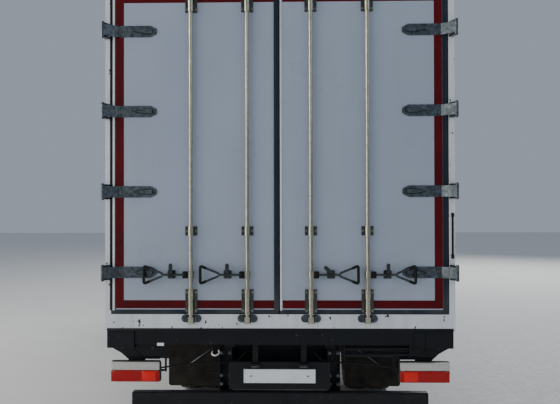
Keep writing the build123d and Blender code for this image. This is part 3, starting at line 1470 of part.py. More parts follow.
def cab_body(inset, low_z):
    with BuildPart() as body:
        with BuildSketch(Plane.YZ):
            with BuildLine():
                Polyline((cab_rear_y + inset, low_z),
                         (cab_rear_y + inset, cab_roof_z - 60),
                         (cab_rear_y + inset + 50, cab_roof_z - inset),
                         (windscreen_top_y - inset - 90, cab_roof_z - inset),
                         (windscreen_top_y - inset, windscreen_top_z),
                         (windscreen_base_y - inset, windscreen_base_z),
                         (cab_front_y - inset, windscreen_base_z - 80),
                         (cab_front_y - inset, low_z),
                         close=True)
            make_face()
        extrude(amount=cab_half, both=True)
        with BuildSketch(seen_from_behind(cab_front_y + 1)) as section:
            with BuildLine():
                Polyline((-cab_half + inset, low_z), (-cab_half + inset, cab_belt_z),
                         (-cab_roof_half + inset, cab_roof_z - inset),
                         (cab_roof_half - inset, cab_roof_z - inset),
                         (cab_half - inset, cab_belt_z), (cab_half - inset, low_z),
                         close=True)
            make_face()
            fillet(section.vertices().group_by(Axis.Y)[-1], radius=95 - inset)
        extrude(amount=cab_front_y - cab_rear_y + 2, mode=Mode.INTERSECT)
        with BuildSketch(seen_from_above(low_z)) as plan:
            with Locations((0, (cab_front_y + cab_rear_y) / 2)):
                Rectangle(2 * (cab_half - inset), cab_front_y - cab_rear_y - 2 * inset)
            fillet(plan.vertices().group_by(Axis.Y)[-1], radius=cab_corner_radius - inset)
            fillet(plan.vertices().group_by(Axis.Y)[0], radius=70 - inset)
        extrude(amount=cab_roof_z - low_z, mode=Mode.INTERSECT)
    return body.part


screen_run = Vector(0, windscreen_top_y - windscreen_base_y, windscreen_top_z - windscreen_base_z)
screen_plane = Plane(
    origin=(0, (windscreen_base_y + windscreen_top_y) / 2, (windscreen_base_z + windscreen_top_z) / 2),
    x_dir=(1, 0, 0), z_dir=(0, screen_run.Z, -screen_run.Y))
screen_width = 1720
screen_height = 720
screen_corner = 80
rear_window_width = 900
rear_window_height = 380
rear_window_z = 1840
window_rear_y = cab_door_rear_y + 90
window_front_y = front_seam_y - cab_door_gap - 90
window_bottom_z = 1540
window_top_z = 2235
window_corner = 60
glass_thickness = 6
glass_inset = 14
grille_half = 560
grille_bottom_z = 1000
grille_top_z = 1290
service_half = 700
service_low_z = 970
service_high_z = 1385
service_groove = 7
service_groove_depth = 6
arch_radius = 520

with BuildPart() as cab_shell:
    add(cab_body(0, cab_bottom_z))
    add(cab_body(cab_wall, cab_bottom_z - 10), mode=Mode.SUBTRACT)
    with BuildSketch(screen_plane):
        RectangleRounded(screen_width, screen_height, screen_corner)
    extrude(amount=90, both=True, mode=Mode.SUBTRACT)
    with BuildSketch(seen_from_behind(cab_rear_y + cab_wall + 5)):
        with Locations((0, rear_window_z)):
            RectangleRounded(rear_window_width, rear_window_height, screen_corner)
    extrude(amount=cab_wall + 10, mode=Mode.SUBTRACT)
    with BuildSketch(seen_from_behind(cab_front_y + 5)):
        with Locations((0, (grille_bottom_z + grille_top_z) / 2)):
            RectangleRounded(2 * grille_half, grille_top_z - grille_bottom_z, 30)
    extrude(amount=cab_wall + 10, mode=Mode.SUBTRACT)
    # Wheel arches in the lower edge
    with BuildSketch(seen_from_right(-cab_half - 5)):
        with Locations((front_axle_y, axle_z)):
            Circle(arch_radius)
    extrude(amount=2 * cab_half + 10, mode=Mode.SUBTRACT)

seam_reach = 2 * cab_half + 100
visor_half = 820
visor_reach = 118
visor_root = 48
visor_rise = 42
visor_drop = 30
visor_thickness = 9

with BuildPart() as cab_roof:
    add(cab_shell.part)
    with BuildSketch(seen_from_above(roof_seam_z)):
        with Locations((0, (cab_front_y + cab_rear_y) / 2)):
            Rectangle(seam_reach, cab_front_y - cab_rear_y + 100)
    extrude(amount=200, mode=Mode.INTERSECT)
    # Sun visor over the windscreen, its root in the roof's skin
    visor_root_y = windscreen_top_y - visor_root
    visor_tip_y = windscreen_top_y + visor_reach
    with BuildSketch(seen_from_right(-visor_half)):
        with BuildLine():
            Polyline((visor_root_y, windscreen_top_z + visor_rise),
                     (visor_root_y + visor_thickness, windscreen_top_z + visor_rise + visor_thickness),
                     (visor_tip_y, windscreen_top_z - visor_drop),
                     (visor_tip_y - visor_thickness, windscreen_top_z - visor_drop - visor_thickness),
                     close=True)
        make_face()
    extrude(amount=2 * visor_half)
save(cab_roof, "cab_roof")

with BuildPart() as cab_rear_wall:
    add(cab_shell.part)
    with BuildSketch(seen_from_behind(rear_seam_y)):
        with Locations((0, (cab_bottom_z + roof_seam_z) / 2)):
            Rectangle(seam_reach, roof_seam_z - cab_bottom_z)
    extrude(amount=100, mode=Mode.INTERSECT)
save(cab_rear_wall, "cab_rear_wall")

cab_door_front_y = front_seam_y - cab_door_gap
cab_pin_x = cab_half + cab_barrel_radius + seat_gap
cab_pin_y = cab_door_front_y + cab_door_gap / 2
cab_pin_radius = 5
cab_hinge_rows = (1120, 1440)
cab_barrel_height = 36
cab_leaf_length = 60
cab_leaf_thickness = 6

with BuildPart() as cab_front_panel:
    add(cab_shell.part)
    with BuildSketch(seen_from_behind(cab_front_y + 50)):
        with Locations((0, (cab_bottom_z + roof_seam_z) / 2)):
            Rectangle(seam_reach, roof_seam_z - cab_bottom_z)
    extrude(amount=cab_front_y + 50 - front_seam_y, mode=Mode.INTERSECT)
    # Groove round the service flap that carries the grille
    with BuildSketch(seen_from_behind(cab_front_y + 5)):
        with Locations((0, (service_low_z + service_high_z) / 2)):
            RectangleRounded(2 * service_half, service_high_z - service_low_z, 40)
            RectangleRounded(2 * (service_half - service_groove),
                             service_high_z - service_low_z - 2 * service_groove,
                             40 - service_groove, mode=Mode.SUBTRACT)
    extrude(amount=service_groove_depth + 5, mode=Mode.SUBTRACT)
    # Upper half of each door hinge, with its pin
    for side, _ in sides:
        for row_z in cab_hinge_rows:
            with BuildSketch(seen_from_above(row_z + lug_gap)):
                with Locations((side * cab_pin_x, cab_pin_y)):
                    Circle(cab_barrel_radius)
                with Locations((side * (cab_half + cab_leaf_thickness / 2), cab_pin_y + cab_leaf_length / 2)):
                    Rectangle(cab_leaf_thickness, cab_leaf_length)
            extrude(amount=cab_barrel_height)
            with BuildSketch(seen_from_above(row_z - cab_barrel_height)):
                with Locations((side * cab_pin_x, cab_pin_y)):
                    Circle(cab_pin_radius)
            extrude(amount=cab_barrel_height + lug_gap)
save(cab_front_panel, "cab_front_panel")

# Door aperture in the side, up to the front panel's edge
with BuildPart() as cab_sides:
    add(cab_shell.part)
    with BuildSketch(seen_from_behind(front_seam_y)):
        with Locations((0, (cab_bottom_z + roof_seam_z) / 2)):
            Rectangle(seam_reach, roof_seam_z - cab_bottom_z)
    extrude(amount=front_seam_y - rear_seam_y, mode=Mode.INTERSECT)
    with BuildSketch(seen_from_right(-cab_half - 10)):
        with Locations(((cab_door_rear_y - cab_door_gap + front_seam_y + 10) / 2,
                        (cab_door_bottom_z + cab_door_top_z) / 2)):
            Rectangle(front_seam_y + 10 - cab_door_rear_y + cab_door_gap,
                      cab_door_top_z - cab_door_bottom_z + 2 * cab_door_gap)
    extrude(amount=2 * cab_half + 20, mode=Mode.SUBTRACT)
save(cab_sides, "cab_sides")

for side, hand in sides:
    with BuildPart() as cab_door:
        add(cab_shell.part)
        with BuildSketch(seen_from_right(side * (cab_half - 250))):
            with Locations(((cab_door_rear_y + cab_door_front_y) / 2,
                            (cab_door_bottom_z + cab_door_top_z) / 2)):
                Rectangle(cab_door_front_y - cab_door_rear_y, cab_door_top_z - cab_door_bottom_z)
        extrude(amount=side * 300, mode=Mode.INTERSECT)
        with BuildSketch(seen_from_right(side * (cab_half - 250))):
            with Locations(((window_rear_y + window_front_y) / 2, (window_bottom_z + window_top_z) / 2)):
                RectangleRounded(window_front_y - window_rear_y, window_top_z - window_bottom_z,
                                 window_corner)
        extrude(amount=side * 300, mode=Mode.SUBTRACT)
        # Lower half of each hinge barrel, with its leaf on the door's skin
        for row_z in cab_hinge_rows:
            with BuildSketch(seen_from_above(row_z - cab_barrel_height)):
                with Locations((side * cab_pin_x, cab_pin_y)):
                    Circle(cab_barrel_radius)
                with Locations((side * (cab_half + cab_leaf_thickness / 2), cab_pin_y - cab_leaf_length / 2)):
                    Rectangle(cab_leaf_thickness, cab_leaf_length)
                with Locations((side * cab_pin_x, cab_pin_y)):
                    Circle(cab_pin_radius + running_gap, mode=Mode.SUBTRACT)
            extrude(amount=cab_barrel_height)
    save(cab_door, f"cab_door_{hand}")

    with BuildPart() as door_glass:
        with BuildSketch(seen_from_behind(window_front_y + 5)):
            with BuildLine():
                Polyline((side * (cab_half_at(window_bottom_z - 5) - glass_inset), window_bottom_z - 5),
                         (side * (cab_half_at(window_top_z + 5) - glass_inset), window_top_z + 5),
                         (side * (cab_half_at(window_top_z + 5) - glass_inset - glass_thickness),
                          window_top_z + 5),
                         (side * (cab_half_at(window_bottom_z - 5) - glass_inset - glass_thickness),
                          window_bottom_z - 5),
                         close=True)
            make_face()
        extrude(amount=window_front_y - window_rear_y + 10)
        with BuildSketch(seen_from_right(side * (cab_half - 250))):
            with Locations(((window_rear_y + window_front_y) / 2, (window_bottom_z + window_top_z) / 2)):
                RectangleRounded(window_front_y - window_rear_y - 2 * seat_gap,
                                 window_top_z - window_bottom_z - 2 * seat_gap,
                                 window_corner - seat_gap)
        extrude(amount=side * 300, mode=Mode.INTERSECT)
    save(door_glass, f"door_glass_{hand}")

# Windscreen and rear window
with BuildPart() as cab_glass:
    with BuildSketch(screen_plane.offset(-glass_inset)):
        RectangleRounded(screen_width - 2 * seat_gap, screen_height - 2 * seat_gap, screen_corner - seat_gap)
    extrude(amount=-glass_thickness)
    with BuildSketch(seen_from_behind(cab_rear_y + glass_inset + glass_thickness)):
        with Locations((0, rear_window_z)):
            RectangleRounded(rear_window_width - 2 * seat_gap, rear_window_height - 2 * seat_gap,
                             screen_corner - seat_gap)
    extrude(amount=glass_thickness)
save(cab_glass, "cab_glass")

# Grille: a frame with slats, in the front panel's opening
slat_count = 5
slat_height = 22

with BuildPart() as grille:
    with BuildSketch(seen_from_behind(cab_front_y - 6)):
        with Locations((0, (grille_bottom_z + grille_top_z) / 2)):
            RectangleRounded(2 * (grille_half - seat_gap), grille_top_z - grille_bottom_z - 2 * seat_gap, 29)
            RectangleRounded(2 * (grille_half - 18), grille_top_z - grille_bottom_z - 36, 14,
                             mode=Mode.SUBTRACT)
    extrude(amount=34)
    slat_pitch = (grille_top_z - grille_bottom_z) / (slat_count + 1)
    for number in range(slat_count):
        slat_z = grille_bottom_z + (number + 1) * slat_pitch
        with BuildSketch(seen_from_right(-grille_half + 14)):
            with BuildLine():
                Polyline((cab_front_y - 8, slat_z), (cab_front_y - 36, slat_z + slat_height),
                         (cab_front_y - 36, slat_z + slat_height - 5), (cab_front_y - 8, slat_z - 6),
                         close=True)
            make_face()
        extrude(amount=2 * grille_half - 28)
save(grille, "grille")

# Cab floor with the engine tunnel, and the lugs of the tilt hinge
tunnel_half = 330
tunnel_front_y = engine_front_y + 90
tunnel_top_z = 1220
tunnel_wall = 25
tilt_lug_x = rail_half_spread + 40
tilt_lug_width = 30
tilt_lug_radius = 34

with BuildPart() as cab_floor:
    with BuildSketch(seen_from_above(cab_floor_z - cab_floor_thickness)) as floor_plan:
        with Locations((0, (cab_front_y + cab_rear_y) / 2)):
            Rectangle(2 * (cab_half - cab_wall - seat_gap), cab_front_y - cab_rear_y - 2 * cab_wall
                      - 2 * seat_gap)
        fillet(floor_plan.vertices().group_by(Axis.Y)[-1], radius=cab_corner_radius - cab_wall)
        fillet(floor_plan.vertices().group_by(Axis.Y)[0], radius=70 - cab_wall)
    extrude(amount=cab_floor_thickness)
    with BuildSketch(seen_from_behind(tunnel_front_y)):
        with Locations((0, (cab_floor_z - cab_floor_thickness + tunnel_top_z) / 2)):
            Rectangle(2 * tunnel_half, tunnel_top_z - cab_floor_z + cab_floor_thickness)
    extrude(amount=tunnel_front_y - cab_rear_y - cab_wall - seat_gap)
    with BuildSketch(seen_from_behind(tunnel_front_y - tunnel_wall)):
        with Locations((0, (cab_floor_z - cab_floor_thickness + tunnel_top_z - tunnel_wall) / 2)):
            Rectangle(2 * (tunnel_half - tunnel_wall),
                      tunnel_top_z - tunnel_wall - cab_floor_z + cab_floor_thickness)
    extrude(amount=tunnel_front_y - tunnel_wall - cab_rear_y, mode=Mode.SUBTRACT)
    for side, _ in sides:
        with BuildSketch(seen_from_right(side * tilt_lug_x - tilt_lug_width / 2)):
            with Locations((tilt_pin_y, tilt_pin_z)):
                Circle(tilt_lug_radius)
            with Locations((tilt_pin_y, (tilt_pin_z + cab_floor_z - cab_floor_thickness) / 2)):
                Rectangle(2 * tilt_lug_radius, cab_floor_z - cab_floor_thickness - tilt_pin_z)
            with Locations((tilt_pin_y, tilt_pin_z)):
                Circle(tilt_pin_radius + running_gap, mode=Mode.SUBTRACT)
        extrude(amount=tilt_lug_width)
save(cab_floor, "cab_floor")

# Brackets on the rails: tilt hinge pins, rests under the cab's rear, and the front tow eyes
tow_eye_radius = 20
tow_eye_rim = 26
tow_eye_thickness = 25
tow_eye_y = rail_front_y + 10
tow_eye_z = 385

with BuildPart() as frame_brackets:
    for side, _ in sides:
        with BuildSketch(seen_from_right(side * rail_half_spread)):
            with Locations((tilt_pin_y, tilt_pin_z)):
                Circle(tilt_pin_radius)
        extrude(amount=side * (tilt_lug_x - rail_half_spread + tilt_lug_width / 2 + 14))
        with BuildSketch(seen_from_right(side * rail_half_spread)):
            with Locations((tilt_pin_y, tilt_pin_z - 20)):
                Rectangle(90, 80)
        extrude(amount=side * 16)
        with BuildSketch(seen_from_above(rail_top_z)):
            with Locations((side * spring_x, cab_rear_y + 110)):
                Rectangle(60, 90)
        extrude(amount=cab_floor_z - cab_floor_thickness - rail_top_z - seat_gap)
        with BuildSketch(seen_from_right(side * rail_half_spread)):
            with Locations((tow_eye_y, tow_eye_z)):
                Circle(tow_eye_radius + tow_eye_rim)
            with Locations((tow_eye_y - tow_eye_rim, (tow_eye_z + rail_top_z - rail_height + 60) / 2)):
                Rectangle(2 * tow_eye_radius, rail_top_z - rail_height + 60 - tow_eye_z)
            with Locations((tow_eye_y, tow_eye_z)):
                Circle(tow_eye_radius, mode=Mode.SUBTRACT)
        extrude(amount=side * tow_eye_thickness)
save(frame_brackets, "frame_brackets")

# Seats: one for the driver and a bench for two, on plain bases
seat_cushion_z = 1260
seat_cushion_thickness = 130
seat_rear_y = cab_rear_y + 100
driver_x = 590
driver_seat_width = 520
bench_x = 400
bench_width = 1000
seat_table = (  # middle x, width
    (-driver_x, driver_seat_width),
    (bench_x, bench_width),
)
seat_base_table = (  # middle x, width, foot z
    (-driver_x, driver_seat_width - 120, cab_floor_z),
    (bench_x + 240, 420, cab_floor_z),
    (bench_x - 250, 300, tunnel_top_z),
)

with BuildPart() as seats:
    for seat_x, seat_width in seat_table:
        with BuildSketch(seen_from_above(seat_cushion_z)):
            with Locations((seat_x, seat_rear_y + 380)):
                RectangleRounded(seat_width, 480, 60)
        extrude(amount=seat_cushion_thickness)
        with BuildSketch(seen_from_right(seat_x - seat_width / 2)):
            with BuildLine():
                Polyline((seat_rear_y + 190, seat_cushion_z + 40), (seat_rear_y + 40, seat_cushion_z + 700),
                         (seat_rear_y - 20, seat_cushion_z + 690), (seat_rear_y + 90, seat_cushion_z),
                         (seat_rear_y + 180, seat_cushion_z), close=True)
            make_face()
        extrude(amount=seat_width)
    for base_x, base_width, base_z in seat_base_table:
        with BuildSketch(seen_from_above(base_z)):
            with Locations((base_x, seat_rear_y + 360)):
                Rectangle(base_width, 380)
        extrude(amount=seat_cushion_z - base_z)
save(seats, "seats")

# Dashboard with the steering column's stub
wheel_hub_y = cab_front_y - 680
wheel_hub_z = 1560
wheel_x = -driver_x
column_tilt = 35
stub_radius = 10
dash_half = 985
dash_front_y = cab_front_y - 140
column_axis = Vector(0, math.sin(math.radians(column_tilt)), -math.cos(math.radians(column_tilt)))
hub_point = Vector(wheel_x, wheel_hub_y, wheel_hub_z)

with BuildPart() as dashboard:
    with BuildSketch(seen_from_right(-dash_half)):
        with BuildLine():
            Polyline((dash_front_y, 1190), (dash_front_y, 1495), (dash_front_y - 210, 1495),
                     (dash_front_y - 310, 1440), (dash_front_y - 330, 1270), (dash_front_y - 250, 1190),
                     close=True)
        make_face()
    extrude(amount=2 * dash_half)
    with BuildSketch(seen_from_behind(cab_front_y - cab_wall - seat_gap)):
        with Locations((0, 1320)):
            Rectangle(1600, 140)
    extrude(amount=cab_front_y - cab_wall - seat_gap - dash_front_y + 10)
    with BuildSketch(Plane(origin=tuple(hub_point + column_axis * 30), x_dir=(1, 0, 0),
                           z_dir=tuple(column_axis))):
        Circle(32)
    extrude(amount=400)
    with BuildSketch(Plane(origin=tuple(hub_point), x_dir=(1, 0, 0), z_dir=tuple(column_axis))):
        Circle(stub_radius)
    extrude(amount=60)
save(dashboard, "dashboard")

with BuildPart() as steering_wheel:
    wheel_disc = Plane(origin=tuple(hub_point), x_dir=(1, 0, 0), z_dir=tuple(-column_axis))
    with BuildSketch(Plane(origin=tuple(hub_point), x_dir=(1, 0, 0), z_dir=(0, -column_axis.Z, column_axis.Y))):
        with Locations((210, 0)):
            Circle(14)
    revolve(axis=Axis(tuple(hub_point), tuple(column_axis)))
    with BuildSketch(wheel_disc.offset(-26)):
        Circle(45)
    extrude(amount=46)
    with BuildSketch(wheel_disc.offset(-8)):
        for spoke_angle in (0, 120, 240):
            with Locations(Location((0, 0), spoke_angle)):
                with Locations((105, 0)):
                    Rectangle(200, 30)
    extrude(amount=14)
    with BuildSketch(wheel_disc.offset(-27)):
        Circle(stub_radius + running_gap)
    extrude(amount=28, mode=Mode.SUBTRACT)
save(steering_wheel, "steering_wheel")

# Mirrors on two arms a side, ahead of the doors
mirror_y = cab_front_y - 210
mirror_inner_x = 1120
mirror_outer_x = 1280
mirror_bottom_z = 1500
mirror_top_z = 1960
mirror_arm_rows = (1620, 1880)

with BuildPart() as mirrors:
    for side, _ in sides:
        with BuildSketch(seen_from_behind(mirror_y + 30)):
            with Locations((side * (mirror_inner_x + mirror_outer_x) / 2, (mirror_bottom_z + mirror_top_z) / 2)):
                RectangleRounded(mirror_outer_x - mirror_inner_x, mirror_top_z - mirror_bottom_z, 30)
        extrude(amount=60)
        for arm_z in mirror_arm_rows:
            foot_x = cab_half_at(arm_z + 20) + seat_gap
            with BuildSketch(seen_from_right(side * (cab_half_at(arm_z - 20) + seat_gap))):
                with Locations((mirror_y, arm_z)):
                    Circle(10)
            extrude(amount=side * (mirror_inner_x + 20 - foot_x))
save(mirrors, "mirrors")
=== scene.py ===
import math

import bmesh
import bpy
from mathutils import Matrix, Vector


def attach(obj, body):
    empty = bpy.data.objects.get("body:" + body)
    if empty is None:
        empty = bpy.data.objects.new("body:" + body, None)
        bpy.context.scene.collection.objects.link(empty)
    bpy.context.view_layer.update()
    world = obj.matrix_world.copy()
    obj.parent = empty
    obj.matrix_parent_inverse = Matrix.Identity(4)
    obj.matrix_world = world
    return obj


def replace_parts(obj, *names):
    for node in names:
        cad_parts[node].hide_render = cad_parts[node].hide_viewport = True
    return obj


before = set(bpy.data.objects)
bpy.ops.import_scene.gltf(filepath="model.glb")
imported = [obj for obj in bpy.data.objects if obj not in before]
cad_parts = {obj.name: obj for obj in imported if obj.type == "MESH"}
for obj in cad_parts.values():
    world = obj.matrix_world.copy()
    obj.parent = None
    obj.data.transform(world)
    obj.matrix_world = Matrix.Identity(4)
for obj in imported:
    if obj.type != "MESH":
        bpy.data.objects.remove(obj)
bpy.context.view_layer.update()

print("frame loaded:", len(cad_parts), "nodes")


def rest():
    if bpy.context.mode != "OBJECT":
        bpy.ops.object.mode_set(mode="OBJECT")
    bpy.ops.object.select_all(action="DESELECT")


def grab(*objs):
    rest()
    for obj in objs:
        obj.select_set(True)
    bpy.context.view_layer.objects.active = objs[0]
    return objs[0]


def settle(obj):
    grab(obj)
    bpy.ops.object.transform_apply(location=True, rotation=True, scale=True)
    return obj


def smoothed(obj, angle):
    grab(obj)
    bpy.ops.object.shade_smooth_by_angle(angle=math.radians(angle))
    return obj


def push(shift):
    bpy.ops.mesh.extrude_region_move(TRANSFORM_OT_translate={"value": shift})


def pick(obj, test, kind="faces"):
    # selects in edit mode what passes the test, by place or normal
    grab(obj)
    bpy.ops.object.mode_set(mode="EDIT")
    bpy.ops.mesh.select_mode(type={"faces": "FACE", "verts": "VERT"}[kind])
    bpy.ops.mesh.select_all(action="DESELECT")
    mesh = bmesh.from_edit_mesh(obj.data)
    for part in getattr(mesh, kind):
        part.select_set(bool(test(part)))
    mesh.select_flush_mode()
    bmesh.update_edit_mesh(obj.data)


def recess(obj, way, rim, deep, area=0.01):
    # sinks the large face that looks along y, way is its side
    pick(obj, lambda face: face.normal.y * way > 0.99 and face.calc_area() > area)
    bpy.ops.mesh.inset(thickness=rim)
    push((0, deep, 0))
    rest()


def soften(obj, width, steps=2):
    grab(obj)
    bevel = obj.modifiers.new("edges", "BEVEL")
    bevel.width, bevel.segments = width, steps
    bevel.limit_method, bevel.angle_limit = "ANGLE", math.radians(35)
    bpy.ops.object.modifier_apply(modifier=bevel.name)
    bpy.ops.object.shade_smooth_by_angle(angle=math.radians(40))
    return obj


def tidy(obj):
    grab(obj)
    bpy.ops.object.mode_set(mode="EDIT")
    bpy.ops.mesh.select_all(action="SELECT")
    bpy.ops.mesh.remove_doubles(threshold=0.00001)
    bpy.ops.mesh.normals_make_consistent(inside=False)
    rest()
    return obj


def drop(*objs):
    for obj in objs:
        bpy.data.objects.remove(obj)


def block(low, high, edge=0.0, steps=2):
    rest()
    bpy.ops.mesh.primitive_cube_add(size=1, location=[(a + b) / 2 for a, b in zip(low, high)])
    obj = bpy.context.object
    obj.scale = [abs(b - a) for a, b in zip(low, high)]
    settle(obj)
    return soften(obj, edge, steps) if edge else obj


def along(obj, axis):
    obj.rotation_mode = "QUATERNION"
    obj.rotation_quaternion = Vector(axis).to_track_quat("Z", "Y")


def rod(start, end, radius, sides=16, edge=0.0):
    rest()
    start, end = Vector(start), Vector(end)
    bpy.ops.mesh.primitive_cylinder_add(vertices=sides, radius=radius, depth=(end - start).length,
                                        location=(start + end) / 2)
    obj = bpy.context.object
    along(obj, end - start)
    settle(obj)
    return soften(obj, edge or radius * 0.12, 2 if edge else 1)


def chain(points):
    # one vertex, extruded from point to point
    rest()
    bpy.ops.mesh.primitive_plane_add(size=0.01)
    obj = bpy.context.object
    bpy.ops.object.mode_set(mode="EDIT")
    bpy.ops.mesh.select_mode(type="VERT")
    bpy.ops.mesh.select_all(action="SELECT")
    bpy.ops.mesh.merge(type="CENTER")
    bpy.ops.transform.translate(value=Vector(points[0]))
    for a, b in zip(points, points[1:]):
        bpy.ops.mesh.extrude_vertices_move(TRANSFORM_OT_translate={"value": Vector(b) - Vector(a)})
    bpy.ops.mesh.select_all(action="SELECT")
    return obj


def plate(points, shift):
    # a flat outline pushed to a solid
    obj = chain(points)
    bpy.ops.mesh.edge_face_add()
    push(shift)
    return tidy(obj)


def turned(points, centre, axis=(0, 1, 0), steps=48):
    # a section spun round an axis
    obj = chain(points)
    bpy.ops.mesh.spin(steps=steps, angle=2 * math.pi, center=centre, axis=axis)
    return smoothed(tidy(obj), 35)


def frameRing(low, high, rear, wide, shift, edge):
    # rectangular ring seen from behind, low and high as (x, z)
    rest()
    bpy.ops.mesh.primitive_plane_add(size=1, location=((low[0] + high[0]) / 2, rear, (low[1] + high[1]) / 2),
                                     rotation=(math.pi / 2, 0, 0))
    obj = bpy.context.object
    obj.scale = (high[0] - low[0], high[1] - low[1], 1)
    settle(obj)
    bpy.ops.object.mode_set(mode="EDIT")
    bpy.ops.mesh.select_all(action="SELECT")
    bpy.ops.mesh.inset(thickness=wide)
    bpy.ops.mesh.delete(type="FACE")
    bpy.ops.mesh.select_all(action="SELECT")
    push((0, shift, 0))
    return soften(tidy(obj), edge, 3)


def bentRod(points, radius, bend, sides=3):
    obj = chain(points)
    bpy.ops.mesh.select_mode(type="VERT")
    bpy.ops.mesh.select_all(action="DESELECT")
    mesh = bmesh.from_edit_mesh(obj.data)
    for vert in mesh.verts:
        vert.select_set(len(vert.link_edges) == 2)
    bmesh.update_edit_mesh(obj.data)
    bpy.ops.mesh.bevel(offset=bend, segments=5, affect="VERTICES")
    grab(obj)
    bpy.ops.object.convert(target="CURVE")
    line = bpy.context.object
    line.data.bevel_depth, line.data.bevel_resolution, line.data.use_fill_caps = radius, sides, True
    bpy.ops.object.convert(target="MESH")
    return smoothed(tidy(bpy.context.object), 50)


def rubberLoop(corners, radius, bend):
    # a closed bead: starts and ends halfway along the first edge
    start = tuple((a + b) / 2 for a, b in zip(corners[0], corners[-1]))
    return bentRod([start] + list(corners) + [start], radius, bend, 4)


def dome(radius):
    # half a flattened sphere that looks along x
    rest()
    bpy.ops.mesh.primitive_uv_sphere_add(segments=8, ring_count=6, radius=radius)
    obj = bpy.context.object
    obj.scale.x = 0.45
    settle(obj)
    pick(obj, lambda face: face.calc_center_median().x < -0.0001)
    bpy.ops.mesh.delete(type="FACE")
    grab(obj)
    bpy.ops.object.shade_smooth()
    return obj


def copyAt(obj, shift, turn=None, centre=(0, 0, 0)):
    grab(obj)
    bpy.ops.object.duplicate()
    twin = bpy.context.object
    move = Matrix.Translation(shift)
    if turn:
        move = move @ Matrix.Translation(centre) @ turn @ Matrix.Translation(-Vector(centre))
    twin.matrix_world = move
    return settle(twin)


def mirrored(obj):
    grab(obj)
    bpy.ops.object.duplicate()
    twin = bpy.context.object
    twin.scale.x = -1
    return tidy(settle(twin))


def joined(name, objs):
    grab(*objs)
    if len(objs) > 1:
        bpy.ops.object.join()
    obj = bpy.context.object
    obj.name = obj.data.name = name
    return settle(obj)


def bothSides(objs):
    return objs + [mirrored(obj) for obj in objs]


def scattered(name, first, places):
    # many copies of a small piece
    made = [copyAt(first, place) for place in places]
    drop(first)
    return joined(name, made)


def hexBolt(place, axis, size=0.009, washer=True):
    # hexagon head on a washer, its seat at place
    rest()
    bpy.ops.mesh.primitive_cylinder_add(vertices=6, radius=size, depth=size * 0.75,
                                        location=(0, 0, size * 0.375 + size * 0.15))
    head = bpy.context.object
    soften(head, size * 0.12, 1)
    parts = [head]
    if washer:
        bpy.ops.mesh.primitive_cylinder_add(vertices=14, radius=size * 1.35, depth=size * 0.2,
                                            location=(0, 0, size * 0.1))
        parts.append(bpy.context.object)
    obj = joined("bolt", parts)
    along(obj, axis)
    obj.location = place
    return settle(obj)


def bolts(name, places, axis, size):
    return scattered(name, hexBolt((0, 0, 0), axis, size), places)


def ride(obj, body, look):
    obj.data.materials.clear()
    obj.data.materials.append(finishes[look])
    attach(obj, body)
    return obj


def fit(name, objs, look, body="chassis"):
    return ride(joined(name, objs), body, look)


def fitPair(name, objs, look, body):
    # a right piece and its mirrored twin, each on the body of its side
    right = joined(name + "Right", objs)
    for obj, hand in ((right, "Right"), (mirrored(right), "Left")):
        obj.name = obj.data.name = name + hand
        ride(obj, body + "_" + hand.lower(), look)


def fitBolts(name, places, axis, size, look, both=True):
    # on the chassis, mirrored from the right side if both
    made = [bolts(name, places, axis, size)]
    fit(name, bothSides(made) if both else made, look)


def evenly(start, pitch, number):
    return [start + pitch * n for n in range(number)]


def boxed(span, rise):
    # the corners of an upright rectangle
    (left, right), (low, high) = span, rise
    return ((left, low), (left, high), (right, high), (right, low))


def paint(r, g, b):
    # a screen colour as the shader's own linear one
    return tuple((c / 255 / 12.92) if c <= 10 else (((c / 255) + 0.055) / 1.055) ** 2.4
                 for c in (r, g, b)) + (1,)


